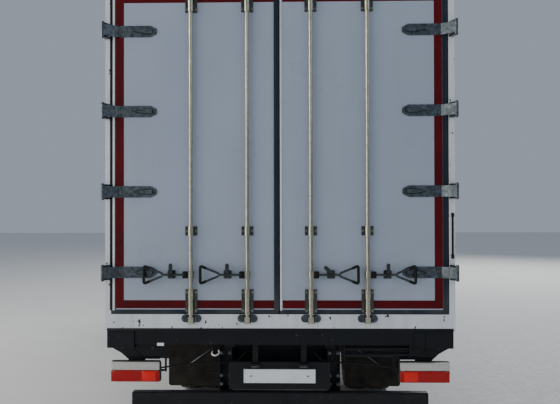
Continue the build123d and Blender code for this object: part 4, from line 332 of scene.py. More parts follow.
def finish(name, base, rough=0.5, metal=0.0, tone=0.05, toneSize=1.5, grain=60, bump=0.1, bumpDepth=0.001,
           spread=0.12, streak=None, dust=None, chips=None, coat=0.0, stretch=(1, 1, 1), shine=0.5,
           bars=None):
    # streak: size, share, colour. dust: low, high, share, colour. chips: size, from, squeeze, colour.
    # bars: places, half width, colour beside them
    mat = bpy.data.materials.new(name)
    mat.use_nodes = True
    nodes, link = mat.node_tree.nodes, mat.node_tree.links.new
    shader = nodes["Principled BSDF"]
    shader.inputs["Metallic"].default_value = metal
    shader.inputs["Specular IOR Level"].default_value = shine
    if coat:
        shader.inputs["Coat Weight"].default_value = coat
        shader.inputs["Coat Roughness"].default_value = 0.12
    place = nodes.new("ShaderNodeTexCoord").outputs["Object"]

    def feed(value, socket):
        if isinstance(value, (float, tuple)):
            socket.default_value = value
        else:
            link(value, socket)

    def axis(letter):
        split = nodes.new("ShaderNodeSeparateXYZ")
        link(place, split.inputs[0])
        return split.outputs[letter]

    def spots(size, detail=4.0, squeeze=(1, 1, 1)):
        mapping = nodes.new("ShaderNodeMapping")
        mapping.inputs["Scale"].default_value = squeeze
        link(place, mapping.inputs["Vector"])
        noise = nodes.new("ShaderNodeTexNoise")
        noise.inputs["Scale"].default_value = size
        noise.inputs["Detail"].default_value = detail
        link(mapping.outputs[0], noise.inputs["Vector"])
        return noise.outputs["Fac"]

    def between(value, low, high, toLow=0.0, toHigh=1.0):
        ranged = nodes.new("ShaderNodeMapRange")
        for key, number in (("From Min", low), ("From Max", high), ("To Min", toLow), ("To Max", toHigh)):
            ranged.inputs[key].default_value = number
        link(value, ranged.inputs["Value"])
        return ranged.outputs[0]

    def mixed(share, under, over):
        mix = nodes.new("ShaderNodeMix")
        mix.data_type = "RGBA"
        link(share, mix.inputs[0])
        feed(under, mix.inputs[6])
        feed(over, mix.inputs[7])
        return mix.outputs[2]

    def count(operation, *values):
        sums = nodes.new("ShaderNodeMath")
        sums.operation = operation
        for socket, value in zip(sums.inputs, values):
            feed(value, socket)
        return sums.outputs[0]

    base = paint(*base)
    dark = tuple(c * (1 - tone) for c in base[:3]) + (1,)
    pale = tuple(min(1, c * (1 + tone)) for c in base[:3]) + (1,)
    colour = mixed(between(spots(toneSize, 6), 0.35, 0.65), dark, pale)
    rub = between(spots(grain * 0.2, 5, stretch), 0.3, 0.7, rough - spread, rough + spread)
    if bars:  # polished along the upright bars, dull beside them
        at, half, beside = bars
        side = count("ABSOLUTE", axis("X"))
        near, other = (count("ABSOLUTE", count("SUBTRACT", side, middle)) for middle in at)
        colour = mixed(between(count("MINIMUM", near, other), half, half + 0.002), colour, paint(*beside))
    if streak:  # rain-washed dirt that runs down
        size, share, dirt = streak
        colour = mixed(between(spots(size, 5, (1, 1, 0.08)), 0.5, 0.75, 0.0, share), colour, paint(*dirt))
    if dust:  # settles on the lower part
        low, high, share, dirt = dust
        settled = count("MULTIPLY", between(axis("Z"), low, high, 1.0, 0.0), between(spots(7, 7), 0.3, 0.65))
        colour = mixed(count("MULTIPLY", settled, share), colour, paint(*dirt))
    if chips:  # knocks down to the primer or metal
        size, start, squeeze, bare = chips
        colour = mixed(between(spots(size, 3, squeeze), start, start + 0.015), colour, paint(*bare))
    link(colour, shader.inputs["Base Color"])
    link(rub, shader.inputs["Roughness"])
    relief = nodes.new("ShaderNodeBump")
    relief.inputs["Strength"].default_value = bump
    relief.inputs["Distance"].default_value = bumpDepth
    link(spots(grain, 3, stretch), relief.inputs["Height"])
    link(relief.outputs[0], shader.inputs["Normal"])
    return mat


def clearFinish(name, tint, rough, thin):
    mat = finish(name, tint, rough=rough + 0.02, spread=0.015, tone=0.03, bump=0.02)
    shader = mat.node_tree.nodes["Principled BSDF"]
    shader.inputs["Transmission Weight"].default_value = thin
    shader.inputs["IOR"].default_value = 1.45
    return mat


roadDust = (120, 112, 98)
upright, lengthwise = (1, 1, 0.05), (1, 0.05, 1)
looks = {
    # the rear doors' white paint is given darker and bluer than the cab and box white, as painted shade
    "doorWhitePaintedShade": dict(base=(174, 185, 202), rough=0.34, spread=0.08, tone=0.04, toneSize=0.9, grain=14,
                      bump=0.12, bumpDepth=0.002, coat=0.15, streak=(9, 0.10, (150, 152, 150)),
                      dust=(1.15, 1.9, 0.22, (160, 156, 148))),
    "bodyWhite": dict(base=(222, 225, 229), rough=0.32, tone=0.03, grain=18, bumpDepth=0.002, coat=0.25,
                      streak=(6, 0.16, (158, 158, 152)), dust=(1.0, 1.8, 0.4, roadDust)),
    "portalWhite": dict(base=(232, 235, 239), rough=0.38, grain=50, bump=0.15,
                        streak=(12, 0.25, (140, 138, 132)), chips=(30, 0.672, (1, 1, 0.7), (34, 34, 38))),
    "cabWhite": dict(base=(226, 228, 231), rough=0.22, tone=0.02, grain=30, bump=0.03, coat=0.6,
                     dust=(0.5, 1.7, 0.45, roadDust)),
    "crimsonTape": dict(base=(92, 3, 12), rough=0.42, tone=0.2, toneSize=3, grain=240, bump=0.35,
                        bumpDepth=0.0006, shine=0.2, streak=(14, 0.3, (48, 4, 10))),
    "silverTape": dict(base=(206, 208, 206), rough=0.3, spread=0.08, tone=0.06, toneSize=4, grain=240,
                       bump=0.35, bumpDepth=0.0006, coat=0.3, dust=(1.0, 1.4, 0.3, roadDust)),
    "sealRubber": dict(base=(30, 40, 54), rough=0.6, tone=0.2, grain=140, bump=0.3, shine=0.3,
                       dust=(1.1, 1.5, 0.5, (96, 98, 96))),
    "galvanised": dict(base=(92, 100, 106), rough=0.36, metal=0.85, tone=0.35, toneSize=45, grain=120,
                       bump=0.35, streak=(30, 0.45, (58, 60, 56))),
    "brightZinc": dict(base=(154, 151, 136), rough=0.22, metal=1.0, tone=0.15, toneSize=30, grain=200,
                       spread=0.05, bump=0.12, stretch=upright, chips=(16, 0.72, (1, 1, 0.5), (70, 66, 60))),
    "lockZinc": dict(base=(182, 178, 158), rough=0.18, metal=1.0, tone=0.12, toneSize=30, grain=200,
                     spread=0.05, bump=0.12, stretch=upright, bars=((0.222, 0.616), 0.0175, (84, 88, 86)),
                     chips=(16, 0.74, (1, 1, 0.5), (70, 66, 60))),
    "chassisBlack": dict(base=(13, 16, 23), rough=0.42, tone=0.25, toneSize=6, grain=90, bump=0.3, shine=0.3,
                         dust=(-0.2, 1.0, 0.14, roadDust), chips=(45, 0.73, (1, 1, 1), (92, 84, 76))),
    "flapRubber": dict(base=(18, 17, 18), rough=0.7, tone=0.2, bump=0.5, bumpDepth=0.002, shine=0.2,
                       dust=(0.0, 0.8, 0.2, roadDust)),
    "tyreRubber": dict(base=(33, 33, 35), rough=0.75, tone=0.15, grain=160, bump=0.35,
                       dust=(-0.4, 0.7, 0.4, (104, 98, 88))),
    "rimSilver": dict(base=(168, 170, 172), rough=0.38, metal=0.6, tone=0.12, toneSize=12, grain=120,
                      bump=0.2, dust=(0.0, 0.9, 0.4, (96, 84, 72))),
    "castSteel": dict(base=(72, 70, 68), rough=0.6, metal=0.5, tone=0.3, toneSize=14, grain=100, bump=0.5,
                      dust=(-0.2, 1.2, 0.5, (104, 86, 70))),
    "tankAluminium": dict(base=(176, 178, 180), rough=0.3, metal=0.9, tone=0.06, toneSize=5, grain=220,
                          stretch=lengthwise, dust=(0.3, 0.95, 0.4, roadDust)),
    "railAluminium": dict(base=(170, 172, 174), rough=0.36, metal=0.85, tone=0.06, grain=200, bump=0.12,
                          stretch=lengthwise),
    "blackPlastic": dict(base=(28, 29, 31), spread=0.08, tone=0.1, grain=300, bump=0.35,
                         dust=(0.3, 1.2, 0.25, roadDust)),
    "gripBlack": dict(base=(12, 12, 14), rough=0.42, tone=0.1, grain=260, bump=0.3, shine=0.3),
    "edgeWhite": dict(base=(240, 242, 240), rough=0.34, tone=0.04, toneSize=9, grain=90,
                      streak=(10, 0.2, (150, 148, 140))),
    "plateWhite": dict(base=(248, 250, 252), rough=0.34, tone=0.03, toneSize=8, grain=160,
                       dust=(0.6, 0.8, 0.12, roadDust)),
    "unitWhite": dict(base=(220, 223, 226), rough=0.35, tone=0.03, grain=120, bump=0.12,
                      streak=(8, 0.2, (150, 150, 146))),
    "dashGrey": dict(base=(58, 60, 64), rough=0.6, tone=0.06, grain=340, bump=0.4),
    "seatCloth": dict(base=(64, 68, 76), rough=0.85, spread=0.05, tone=0.12, toneSize=40, grain=700,
                      bump=0.6),
    "floorMat": dict(base=(46, 46, 48), rough=0.8, tone=0.15, grain=200, bump=0.5),
    "mirrorGlass": dict(base=(210, 214, 218), rough=0.05, spread=0.02, metal=1.0, tone=0.02, bump=0.01),
    "reflector": dict(base=(220, 222, 224), rough=0.16, spread=0.06, metal=1.0, grain=90, bump=0.6),
}
clearLooks = {
    "lensClear": ((236, 240, 244), 0.06, 0.85), "lensPale": ((250, 248, 242), 0.08, 0.45),
    "lensRed": ((200, 6, 12), 0.08, 0.3), "lensBright": ((255, 40, 28), 0.06, 0.2),
    "lensAmber": ((240, 120, 12), 0.08, 0.45), "windowGlass": ((206, 222, 218), 0.0, 1.0),
}
finishes = {name: finish(name, **look) for name, look in looks.items()}
finishes.update({name: clearFinish(name, *look) for name, look in clearLooks.items()})

nodeLooks = {
    "blackPlastic": "battery_box cab_steps grille mirrors mudguards",
    "bodyWhite": "box_roof box_walls",
    "cabWhite": "cab_door_left cab_door_right cab_front_panel cab_rear_wall cab_roof cab_sides front_bumper",
    "castSteel": "engine_block exhaust front_axle knuckle_left knuckle_right leaf_springs rear_axle tie_rod",
    "chassisBlack": "chassis_rails cross_members floor_bearers frame_brackets number_plate rear_beam "
                    "underrun_bar",
    "dashGrey": "dashboard",
    "doorWhitePaintedShade": "rear_door_left rear_door_right",
    "flapRubber": "mud_flaps",
    "floorMat": "cab_floor",
    "galvanised": "door_hinges_left door_hinges_right portal_fittings",
    "gripBlack": "steering_wheel",
    "lensRed": "lamps",
    "lockZinc": "lock_gear_left lock_gear_right",
    "portalWhite": "rear_portal",
    "railAluminium": "box_floor side_guards",
    "rimSilver": "front_rim_left front_rim_right rear_rims_left rear_rims_right",
    "sealRubber": "door_seal_left door_seal_right",
    "seatCloth": "seats",
    "tankAluminium": "fuel_tank",
    "tyreRubber": "front_tyre_left front_tyre_right rear_tyres_left rear_tyres_right",
    "unitWhite": "refrigeration_unit",
    "windowGlass": "cab_glass door_glass_left door_glass_right",
}
for look, names in nodeLooks.items():
    for name in names.split():
        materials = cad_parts[name].data.materials
        materials.clear()
        materials.append(finishes[look])
print("finishes done:", len(finishes))


# camera, floor and light
view = {"place": (0.1134, -8.7381, 1.8868), "left": 1.30, "up": 0.58, "roll": -0.11, "pixels": 673.7,
        "width": 560, "sensor": 36}
stage = {"size": 90, "sky": (0.72, 0.81, 0.96, 1), "skyPower": 0.42,
         "lights": (("keyLight", (-12, -3.0, 7), 700, 5, (1.0, 0.95, 0.84)),
                    ("fillLight", (9, -10, 8), 120, 9, (0.9, 0.95, 1.0)),
                    ("frontLight", (8, 13, 10), 1500, 8, (1.0, 0.98, 0.95)),
                    ("sidePanel", (-8.5, -8.0, 3.4), 420, 12.0, (1.0, 0.96, 0.86))),
         "aim": (0, 0, 1.5), "panelAim": (0, -4.0, 2.2), "panelTall": 6.0}


def makeView():
    rest()
    bpy.ops.object.camera_add(location=view["place"])
    camera = bpy.context.object
    camera.name = "rearCamera"
    turn = (Matrix.Rotation(math.radians(view["left"]), 4, "Z")
            @ Matrix.Rotation(math.radians(90 + view["up"]), 4, "X")
            @ Matrix.Rotation(math.radians(view["roll"]), 4, "Z"))
    camera.matrix_world = Matrix.Translation(view["place"]) @ turn
    camera.data.sensor_width = view["sensor"]
    camera.data.lens = view["sensor"] * view["pixels"] / view["width"]
    bpy.context.scene.camera = camera


def makeStage():
    rest()
    bpy.ops.mesh.primitive_plane_add(size=stage["size"], location=(0, 0, -0.001))
    ground = bpy.context.object
    ground.name = "paleFloor"
    ground.data.materials.append(finish("paleFloor", (222, 222, 220), rough=0.75, tone=0.02, bump=0.03))
    world = bpy.data.worlds.new("softRoom")
    world.use_nodes = True
    background = world.node_tree.nodes["Background"]
    background.inputs[0].default_value, background.inputs[1].default_value = stage["sky"], stage["skyPower"]
    bpy.context.scene.world = world
    for name, place, power, size, colour in stage["lights"]:
        bpy.ops.object.light_add(type="AREA", location=place)
        light = bpy.context.object
        light.name = name
        light.data.energy, light.data.size, light.data.color = power, size, colour
        aim = stage["aim"]
        if name == "sidePanel":  # wide panel that the lock bars reflect
            aim, light.visible_camera = stage["panelAim"], False
            light.data.shape, light.data.size_y = "RECTANGLE", stage["panelTall"]
        light.rotation_euler = (Vector(aim) - Vector(place)).to_track_quat("-Z", "Y").to_euler()


makeView()
makeStage()
print("camera, floor and light done")


# rear doors: contour tape, seals and edge trims, a painted highlight strip on the left seal and a painted
# shadow line on the left post, hinge bolts
rearwards = (0, -1, 0)
rearFace = -4.022
tape = {"inner": 0.024, "outer": (1.1395, 1.1495), "low": 1.190, "high": 3.397, "wide": 0.057,
        "thick": 0.0006}
trims = {"z": (1.176, 3.416), "sill": (1.212, 1.0302, 1.051),
         # the white strip on the left door's seal is a painted highlight of the sunlit seal edge
         "strips": (("leftSealPaintedHighlight", (-1.1715, -1.1565), -4.0270, 0.010, 0.003, "edgeWhite",
                     "rear_door_left"),
                    ("rightDoorEdge", (0.0058, 0.0205), -4.0270, 0.010, 0.003, "edgeWhite",
                     "rear_door_right"),
                    ("centreFlap", (-0.036, 0.0005), -4.0310, 0.009, 0.003, "sealRubber", "rear_door_left"),
                    ("rightDoorLip", (1.1405, 1.156), -4.0232, 0.0014, 0.0004, "sealRubber",
                     "rear_door_right"),
                    # the thin black strip on the left post is a painted shadow in the gap between post and
                    # seal
                    ("postPaintedShadowLine", (-1.1915, -1.1795), -4.0232, 0.0014, 0.0004, "gripBlack", "chassis"))}
seal = {"low": (0.0045, 1.1545), "high": (1.1775, 3.4375), "wide": 0.0165, "rear": -4.0255, "deep": 0.011,
        "edge": 0.0045}


def makeDoorTrim():
    inner, low, high, wide = tape["inner"], tape["low"], tape["high"], tape["wide"]
    for hand, outer in zip(("Right", "Left"), tape["outer"]):
        corners = ((inner, low), (outer, low), (outer, high), (inner, high), (inner, high - wide),
                   (outer - wide, high - wide), (outer - wide, low + wide), (inner, low + wide))
        strip = plate([(x, rearFace, z) for x, z in corners], (0, -tape["thick"], 0))
        if hand == "Left":
            flat, strip = strip, mirrored(strip)
            drop(flat)
        fit("contourTape" + hand, [strip], "crimsonTape", "rear_door_" + hand.lower())
    low, high = trims["z"]
    for name, (near, far), rear, deep, soft, look, body in trims["strips"]:
        fit(name, [block((near, rear, low), (far, rear + deep, high), soft)], look, body)
    half, low, high = trims["sill"]
    fit("sillStrip", [block((-half, rearFace - 0.0035, low), (half, rearFace + 0.001, high), 0.0015)],
        "chassisBlack")
    bead = frameRing(*(seal[key] for key in ("low", "high", "rear", "wide", "deep", "edge")))
    fitPair("sealBead", [bead], "sealRubber", "rear_door")


hinge = {"rows": (1.443, 2.008, 2.573, 3.138), "seat": -4.028, "size": 0.0075, "pin": (1.225, -4.088),
         "bolts": ((1.040, 0.026), (1.040, -0.026), (1.118, 0.026), (1.118, -0.026), (0.871, 0))}


def makeHingeBolts():
    places = [(x, hinge["seat"], row + up) for row in hinge["rows"] for x, up in hinge["bolts"]]
    fitPair("hingeBolts", [bolts("hingeBolts", places, rearwards, hinge["size"])], "galvanised", "rear_door")
    x, y = hinge["pin"]
    caps = [rod((x, y, row + end * 0.053), (x, y, row + end * 0.058), 0.0095)
            for row in hinge["rows"] for end in (-1, 1)]
    fit("pinCaps", bothSides(caps), "galvanised")


# lock gear: grips, pivot blocks, guide and keeper bolts
gear = {"columns": (0.222, 0.616), "rear": -4.064, "z": 1.429, "near": 0.175, "far": 0.327, "half": 0.062,
        "bend": 0.014, "grip": 0.0102, "sleeve": 0.045, "flange": 0.033, "seat": -4.028,
        "guides": ((1.240, (-0.064, 0.064)), (3.352, (-0.064, 0.064)), (1.733, (0,))),
        "keepers": (1.120, 3.477), "keeperBolt": 0.056}


def makeLockDressing():
    g = gear
    y, z, half = g["rear"], g["z"], g["half"]
    grips, guidePlaces = [], []
    for column in g["columns"]:
        far = column + g["far"]
        run = Vector((g["near"] - g["far"], 0, -half)).normalized() * g["sleeve"]
        top, low = Vector((far, y, z + half)), Vector((far, y, z - half))
        path = [top + run, top, low, low + Vector((run.x, 0, -run.z))]
        grips += [bentRod(path, g["grip"], g["bend"], 4),
                  block((column + 0.0165, -4.0815, z - 0.024), (column + 0.056, -4.0455, z + 0.024), 0.006),
                  rod((column + 0.038, -4.0875, z), (column + 0.038, -4.080, z), 0.012, 16, 0.002)]
        guidePlaces += [(column + side * g["flange"], g["seat"], middle + up) for middle, ups in g["guides"]
                        for side in (-1, 1) for up in ups]
    fitPair("handleGrips", grips, "gripBlack", "rear_door")
    fitPair("guideBolts", [bolts("guideBolts", guidePlaces, rearwards, 0.0062)], "brightZinc", "rear_door")
    keeperPlaces = [(side * column + end * g["keeperBolt"], g["seat"], height) for side in (-1, 1)
                    for column in g["columns"] for end in (-1, 1) for height in g["keepers"]]
    fitBolts("keeperBolts", keeperPlaces, rearwards, 0.0085, "galvanised", both=False)


# rear lamps: case, bowls and bulbs, ribbed lenses
lamp = {"x": 1.012, "z": 0.745, "half": (0.178, 0.076), "rear": -4.030, "seat": -4.008, "back": -3.970,
        "split": 0.757, "corner": 0.018, "screw": 0.150, "bulbs": (-0.10, 0.06), "bulbZ": 0.787,
        "bowls": ((-0.10, 0.787, 0.026), (0.06, 0.787, 0.026), (-0.06, 0.715, 0.036), (0.10, 0.715, 0.036)),
        "bowl": ((0, -0.014), (0.4, -0.015), (0.8, -0.022), (1, -0.033)), "square": (-0.146, -0.048)}


def makeRearLamps():
    k = lamp
    mid, rear, seat, back, split, bulbZ = (k[key] for key in ("x", "rear", "seat", "back", "split", "bulbZ"))
    wide, tall = k["half"]
    left, right, low, high = mid - wide, mid + wide, k["z"] - tall, k["z"] + tall

    def ribs(start, pitch, number, wide, base, top):
        return [block((x, rear - 0.0012, base), (x + wide, rear + 0.003, top), 0.001, 1)
                for x in evenly(left + start, pitch, number)]

    case = block((left, seat, low), (right, back, high), k["corner"], 3)
    recess(case, -1, 0.006, 0.026)
    bowls = []
    for x, z, radius in k["bowls"]:
        section = [(mid + x + radius * out, back + y, z) for out, y in k["bowl"]]
        bowls.append(turned(section, (mid + x, 0, z), steps=24))
        bowls.append(rod((mid + x, back - 0.013, z), (mid + x, back - 0.030, z), radius * 0.28, 12, 0.003))
    clear = [block((left + 0.007, rear, split + 0.0008), (right - 0.007, seat, high - 0.007), 0.007, 3)]
    red = [block((left + 0.007, rear, low + 0.007), (right - 0.007, seat, split - 0.0008), 0.007, 3)]
    near, far = (mid + x for x in k["square"])
    square = block((near, rear + 0.002, low + 0.014), (far, rear - 0.0015, split - 0.006), 0.002)
    clear += ribs(0.018, 0.012, 27, 0.004, split + 0.006, high - 0.012)
    red += ribs(0.016, 0.014, 23, 0.005, low + 0.013, split - 0.006)
    bulbs = [rod((mid + x, back - 0.030, bulbZ), (mid + x, back - 0.012, bulbZ), 0.014, 14, 0.004)
             for x in k["bulbs"]]
    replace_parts(fit("lampCases", bothSides([case]), "blackPlastic"), "lamps")
    for name, objs, look in (("lampReflectors", bowls, "reflector"), ("lampLensesClear", clear, "lensPale"),
                             ("lampLensesRed", red, "lensRed"), ("lampSquares", [square], "lensBright"),
                             ("lampBulbs", bulbs, "lensAmber")):
        fit(name, bothSides(objs), look)
    screws = [(side * mid + end * k["screw"], rear, split) for side in (-1, 1) for end in (-1, 1)]
    fitBolts("lampScrews", screws, rearwards, 0.004, "brightZinc", both=False)


# number plate and its carrier, a black holder that also stands as painted shade under the truck behind the
# plate, plate lamps, post strap, small reflector
plateTrim = {"low": (-0.256, 0.659), "high": (0.256, 0.763), "rear": -3.9956, "screws": (-0.20, 0.20),
             "screwZ": 0.711, "lamps": (-0.17, 0.17), "carrier": (0.356, -3.987, 0.618, 0.806)}


def makePlateTrim():
    (left, low), (right, high), rear = plateTrim["low"], plateTrim["high"], plateTrim["rear"]
    fit("plateRim", [frameRing((left, low), (right, high), rear, 0.004, -0.0012, 0.0004)], "gripBlack")
    face = block((left, rear, low), (right, rear + 0.0018, high), 0.0006, 1)
    recess(face, -1, 0.007, 0.0006)
    fit("plateFace", [face], "plateWhite")
    # the black carrier is partly a real plate holder and partly a dark sheet standing in for the shade under
    # the truck
    half, y, low, high = plateTrim["carrier"]
    carrier = block((-half, y, low), (half, y + 0.004, high), 0.0015, 1)
    pick(carrier, lambda side: side.normal.z > 0.99)
    push((0, 0, 0.004))
    rest()
    folds = [block((-half, y, z), (half, y + 0.022, z + 0.004), 0.0015, 1) for z in (low - 0.002, high)]
    fit("plateCarrierAndPaintedShade", [carrier] + folds, "chassisBlack")
    places = [(x, rear, plateTrim["screwZ"]) for x in plateTrim["screws"]]
    fitBolts("plateScrews", places, rearwards, 0.005, "brightZinc", both=False)
    lenses = [block((x - 0.028, -4.024, 0.7785), (x + 0.028, -3.992, 0.7845), 0.002)
              for x in plateTrim["lamps"]]
    fit("plateLampLenses", lenses, "lensClear")


postStrap = {"x": (1.197, 1.217), "z": (1.552, 1.842),
             "spot": ((-0.860, -4.0155, 0.926), (-0.811, -4.0135, 0.947))}


def makePostStrap():
    (near, far), ends = postStrap["x"], postStrap["z"]
    strap = [block((near + 0.003, rearFace - 0.006, ends[0]), (far - 0.003, rearFace - 0.001, ends[1]),
                   0.002)]
    strap += [block((near, rearFace - 0.009, z - 0.014), (far, rearFace + 0.0005, z + 0.014), 0.003)
              for z in ends]
    fit("holdBackStrap", strap, "gripBlack")
    fit("smallReflector", [block(*postStrap["spot"], 0.001, 1)], "plateWhite")


# mud flaps and underrun bar
flap = {"rear": -2.148, "x": (0.590, 1.128), "rows": (0.235, 0.265, 0.300),
        "stay": ((0.932, 0.364), (0.695, 0.531)), "ring": (0.668, 0.484), "bolts": (0.65, 0.79, 0.93, 1.07)}


def makeFlapDressing():
    rear, (near, far) = flap["rear"], flap["x"]
    ribs = [block((near + 0.035, rear - 0.003, z - 0.004), (far - 0.035, rear + 0.001, z + 0.004), 0.0015, 1)
            for z in flap["rows"]]
    ribs.append(block((near + 0.02, rear - 0.006, 0.790), (far - 0.02, rear + 0.001, 0.828), 0.002, 1))
    fit("flapRibs", bothSides(ribs), "flapRubber")
    start, end = ((x, rear - 0.012, z) for x, z in flap["stay"])
    fit("flapStays", bothSides([rod(start, end, 0.006, 10)]), "galvanised")
    rest()
    x, z = flap["ring"]
    bpy.ops.mesh.primitive_torus_add(location=(x, rear - 0.010, z), rotation=(math.pi / 2 - 0.85, 0.15, 0),
                                     major_radius=0.036, minor_radius=0.008, major_segments=28,
                                     minor_segments=10)
    ring = settle(bpy.context.object)
    bpy.ops.object.shade_smooth()
    fit("flapRing", [mirrored(ring)], "edgeWhite")  # in the photo on the left flap only
    drop(ring)
    fitBolts("flapBolts", [(x, rear - 0.006, 0.809) for x in flap["bolts"]], rearwards, 0.008, "galvanised")


underrun = {"half": 1.036, "y": (-4.010, -3.930), "z": (0.482, 0.600)}


def makeUnderrunDressing():
    half, (rear, front), (low, high) = underrun["half"], underrun["y"], underrun["z"]
    cap = block((half - 0.010, rear + 0.004, low + 0.004), (half + 0.004, front - 0.004, high - 0.004), 0.005,
                3)
    fit("underrunCaps", bothSides([cap]), "blackPlastic")
    places = [(x, -3.932, z) for x in (0.355, 0.415) for z in (0.640, 0.700, 0.860)]
    fitBolts("underrunBolts", places, rearwards, 0.009, "galvanised")


stay = {"y": (-3.965, -3.960), "lip": 0.030,
        "outline": ((1.198, 0.936), (1.198, 0.905), (1.075, 0.838), (0.785, 0.828), (0.785, 0.936))}


def makeLampStays():
    # folded plates that carry the lamps under the beam
    rear, front = stay["y"]
    back = plate([(x, front, z) for x, z in stay["outline"]], (0, rear - front, 0))
    pick(back, lambda face: face.normal.z < -0.9)
    push((0, 0, -0.002))
    rest()
    soften(back, 0.0015, 1)
    foot = block((0.844, rear - stay["lip"], 0.829), (1.070, front, 0.834), 0.0015, 1)
    fit("lampStays", bothSides([back, foot]), "chassisBlack")
    fitBolts("stayBolts", [(x, rear, 0.900) for x in (0.900, 1.120)], rearwards, 0.008, "castSteel")


makeDoorTrim()
makeLampStays()
makeHingeBolts()
makeLockDressing()
print("rear doors dressed")
makeRearLamps()
makePlateTrim()
makePostStrap()
makeFlapDressing()
makeUnderrunDressing()
print("rear lamps, plate, flaps and underrun bar dressed")


# wheels: treaded tyres, nuts, hub bolts and valves
tyre = {"crown": 0.4275, "drop": 0.009, "half": 0.0905, "grooves": (0.058, 0.0205), "groove": 0.0055,
        "depth": 0.012, "steps": 180, "lugs": 3, "lug": 0.007, "lugFrom": 0.404,
        "side": ((0.080, 0.2035), (0.080, 0.226), (0.0875, 0.230), (0.091, 0.242), (0.098, 0.2440),
                 (0.0990, 0.2470),
                 (0.0985, 0.2510), (0.1085, 0.285), (0.1125, 0.312), (0.1122, 0.330), (0.1112, 0.3400),
                 (0.1092, 0.3406), (0.1072, 0.3600), (0.1086, 0.3608), (0.1040, 0.3820), (0.1003, 0.4055),
                 (0.0960, 0.4130))}
wheel = {"z": 0.4275, "nuts": 10, "circle": 0.105, "size": 0.0155, "valve": 0.165,
         "valvePath": ((-0.02, 0.72, 0.70), (-0.02, 0.78, 0.76), (0.012, 0.82, 0.80)),
         "rows": (("front", "wheel", "tyre", 2.920, (0.840,), 0.967, (0.989, 0.055), (0.971, 0.066)),
                  ("rear", "wheels", "tyres", -1.580, (0.723, 0.977), 0.860, (0.930, 0.040), (0.865, 0.069)))}


def makeTyre():
    t = tyre

    def crown(d):
        return t["crown"] - t["drop"] * (d / t["half"]) ** 2

    half = list(t["side"]) + [(t["half"], crown(t["half"]))]
    for middle in t["grooves"]:
        for d, deep in ((1, 0), (0.6, 1), (-0.6, 1), (-1, 0)):
            at = middle + d * t["groove"]
            half.append((at, crown(at) - deep * t["depth"]))
    whole = half + [(-d, r) for d, r in reversed(half)]
    obj = turned([(d, 0, r) for d, r in whole + whole[:1]], (0, 0, 0), (1, 0, 0), t["steps"])
    sector = 2 * math.pi / t["steps"]

    def shoulder(face):
        middle = face.calc_center_median()
        around = int(math.atan2(middle.y, middle.z) / sector + 1000 * t["lugs"]) % t["lugs"]
        outside = abs(middle.x) > t["grooves"][0] + t["groove"]
        return around == 0 and outside and math.hypot(middle.y, middle.z) > t["lugFrom"]

    pick(obj, shoulder)
    bpy.ops.mesh.extrude_region_shrink_fatten(TRANSFORM_OT_shrink_fatten={"value": -t["lug"]})
    return smoothed(tidy(obj), 32)


def makeWheels():
    w, z, size, reach = wheel, wheel["z"], wheel["size"], wheel["valve"]
    first = makeTyre()
    nut = joined("wheelNut",
                 [hexBolt((0, 0, 0), (1, 0, 0), size), rod((0, 0, 0), (size * 1.25, 0, 0), size * 0.5, 10)])
    small = hexBolt((0, 0, 0), (1, 0, 0), 0.006, False)
    for axle, body, node, y, xs, face, (capX, capRadius), (boltX, boltCircle) in w["rows"]:
        fitPair(axle + "Tyres", [copyAt(first, (x, y, z)) for x in xs], "tyreRubber", axle + "_" + body)
        for hand in ("Right", "Left"):
            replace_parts(bpy.data.objects[axle + "Tyres" + hand], axle + "_" + node + "_" + hand.lower())
        trim = []
        for part, x, circle, number in ((nut, face, w["circle"], w["nuts"]), (small, boltX, boltCircle, 8)):
            for angle in [2 * math.pi * n / number for n in range(number)]:
                trim.append(copyAt(part, (x, y + circle * math.cos(angle), z + circle * math.sin(angle))))
        trim.append(rod((capX, y, z), (capX + 0.004, y, z), capRadius * 0.6, 24, 0.0015))
        valve = [(face + out, y + reach * ahead, z + reach * up) for out, ahead, up in w["valvePath"]]
        trim.append(bentRod(valve, 0.004, 0.006, 2))
        fitPair(axle + "Nuts", trim, "brightZinc", axle + "_" + body)
    drop(first, nut, small)


makeWheels()
print("wheels done")


# front lamps in the bumper, with bowls, lenses and indicators
headlamp = {"x": (0.622, 0.928), "z": (0.602, 0.778), "y": (4.036, 4.094), "wall": 0.006, "split": 0.868,
            "corner": 0.028, "bowls": ((0.690, 0.690, 0.058), (0.810, 0.690, 0.050)),
            "bowl": ((0, 0), (0.25, 0.02), (0.5, 0.1), (0.75, 0.26), (0.95, 0.5), (1, 0.62), (1.05, 0.62),
                     (1.05, 0.5))}


def makeHeadlamps():
    (near, far), (low, high), (seat, front) = headlamp["x"], headlamp["z"], headlamp["y"]
    split = headlamp["split"]
    case = block((near, seat, low), (far, front - 0.016, high), headlamp["corner"], 4)
    recess(case, 1, headlamp["wall"], -0.034)
    bowls = []
    for x, z, radius in headlamp["bowls"]:
        section = [(x + radius * out, seat + 0.010 + radius * ahead, z) for out, ahead in headlamp["bowl"]]
        bowls.append(turned(section, (x, 0, z), steps=40))
        bowls.append(rod((x, seat + 0.012, z), (x, seat + 0.030, z), radius * 0.2, 14, 0.003))
    clear = block((near + 0.002, front - 0.010, low + 0.002), (split - 0.001, front, high - 0.002), 0.0045, 3)
    amber = block((split + 0.001, front - 0.012, low + 0.002), (far - 0.002, front - 0.002, high - 0.002),
                  0.0045, 3)
    for name, objs, look in (("headlampCases", [case], "blackPlastic"), ("headlampBowls", bowls, "reflector"),
                             ("headlampLenses", [clear], "lensClear"),
                             ("indicatorLenses", [amber], "lensAmber")):
        fit(name, bothSides(objs), look)


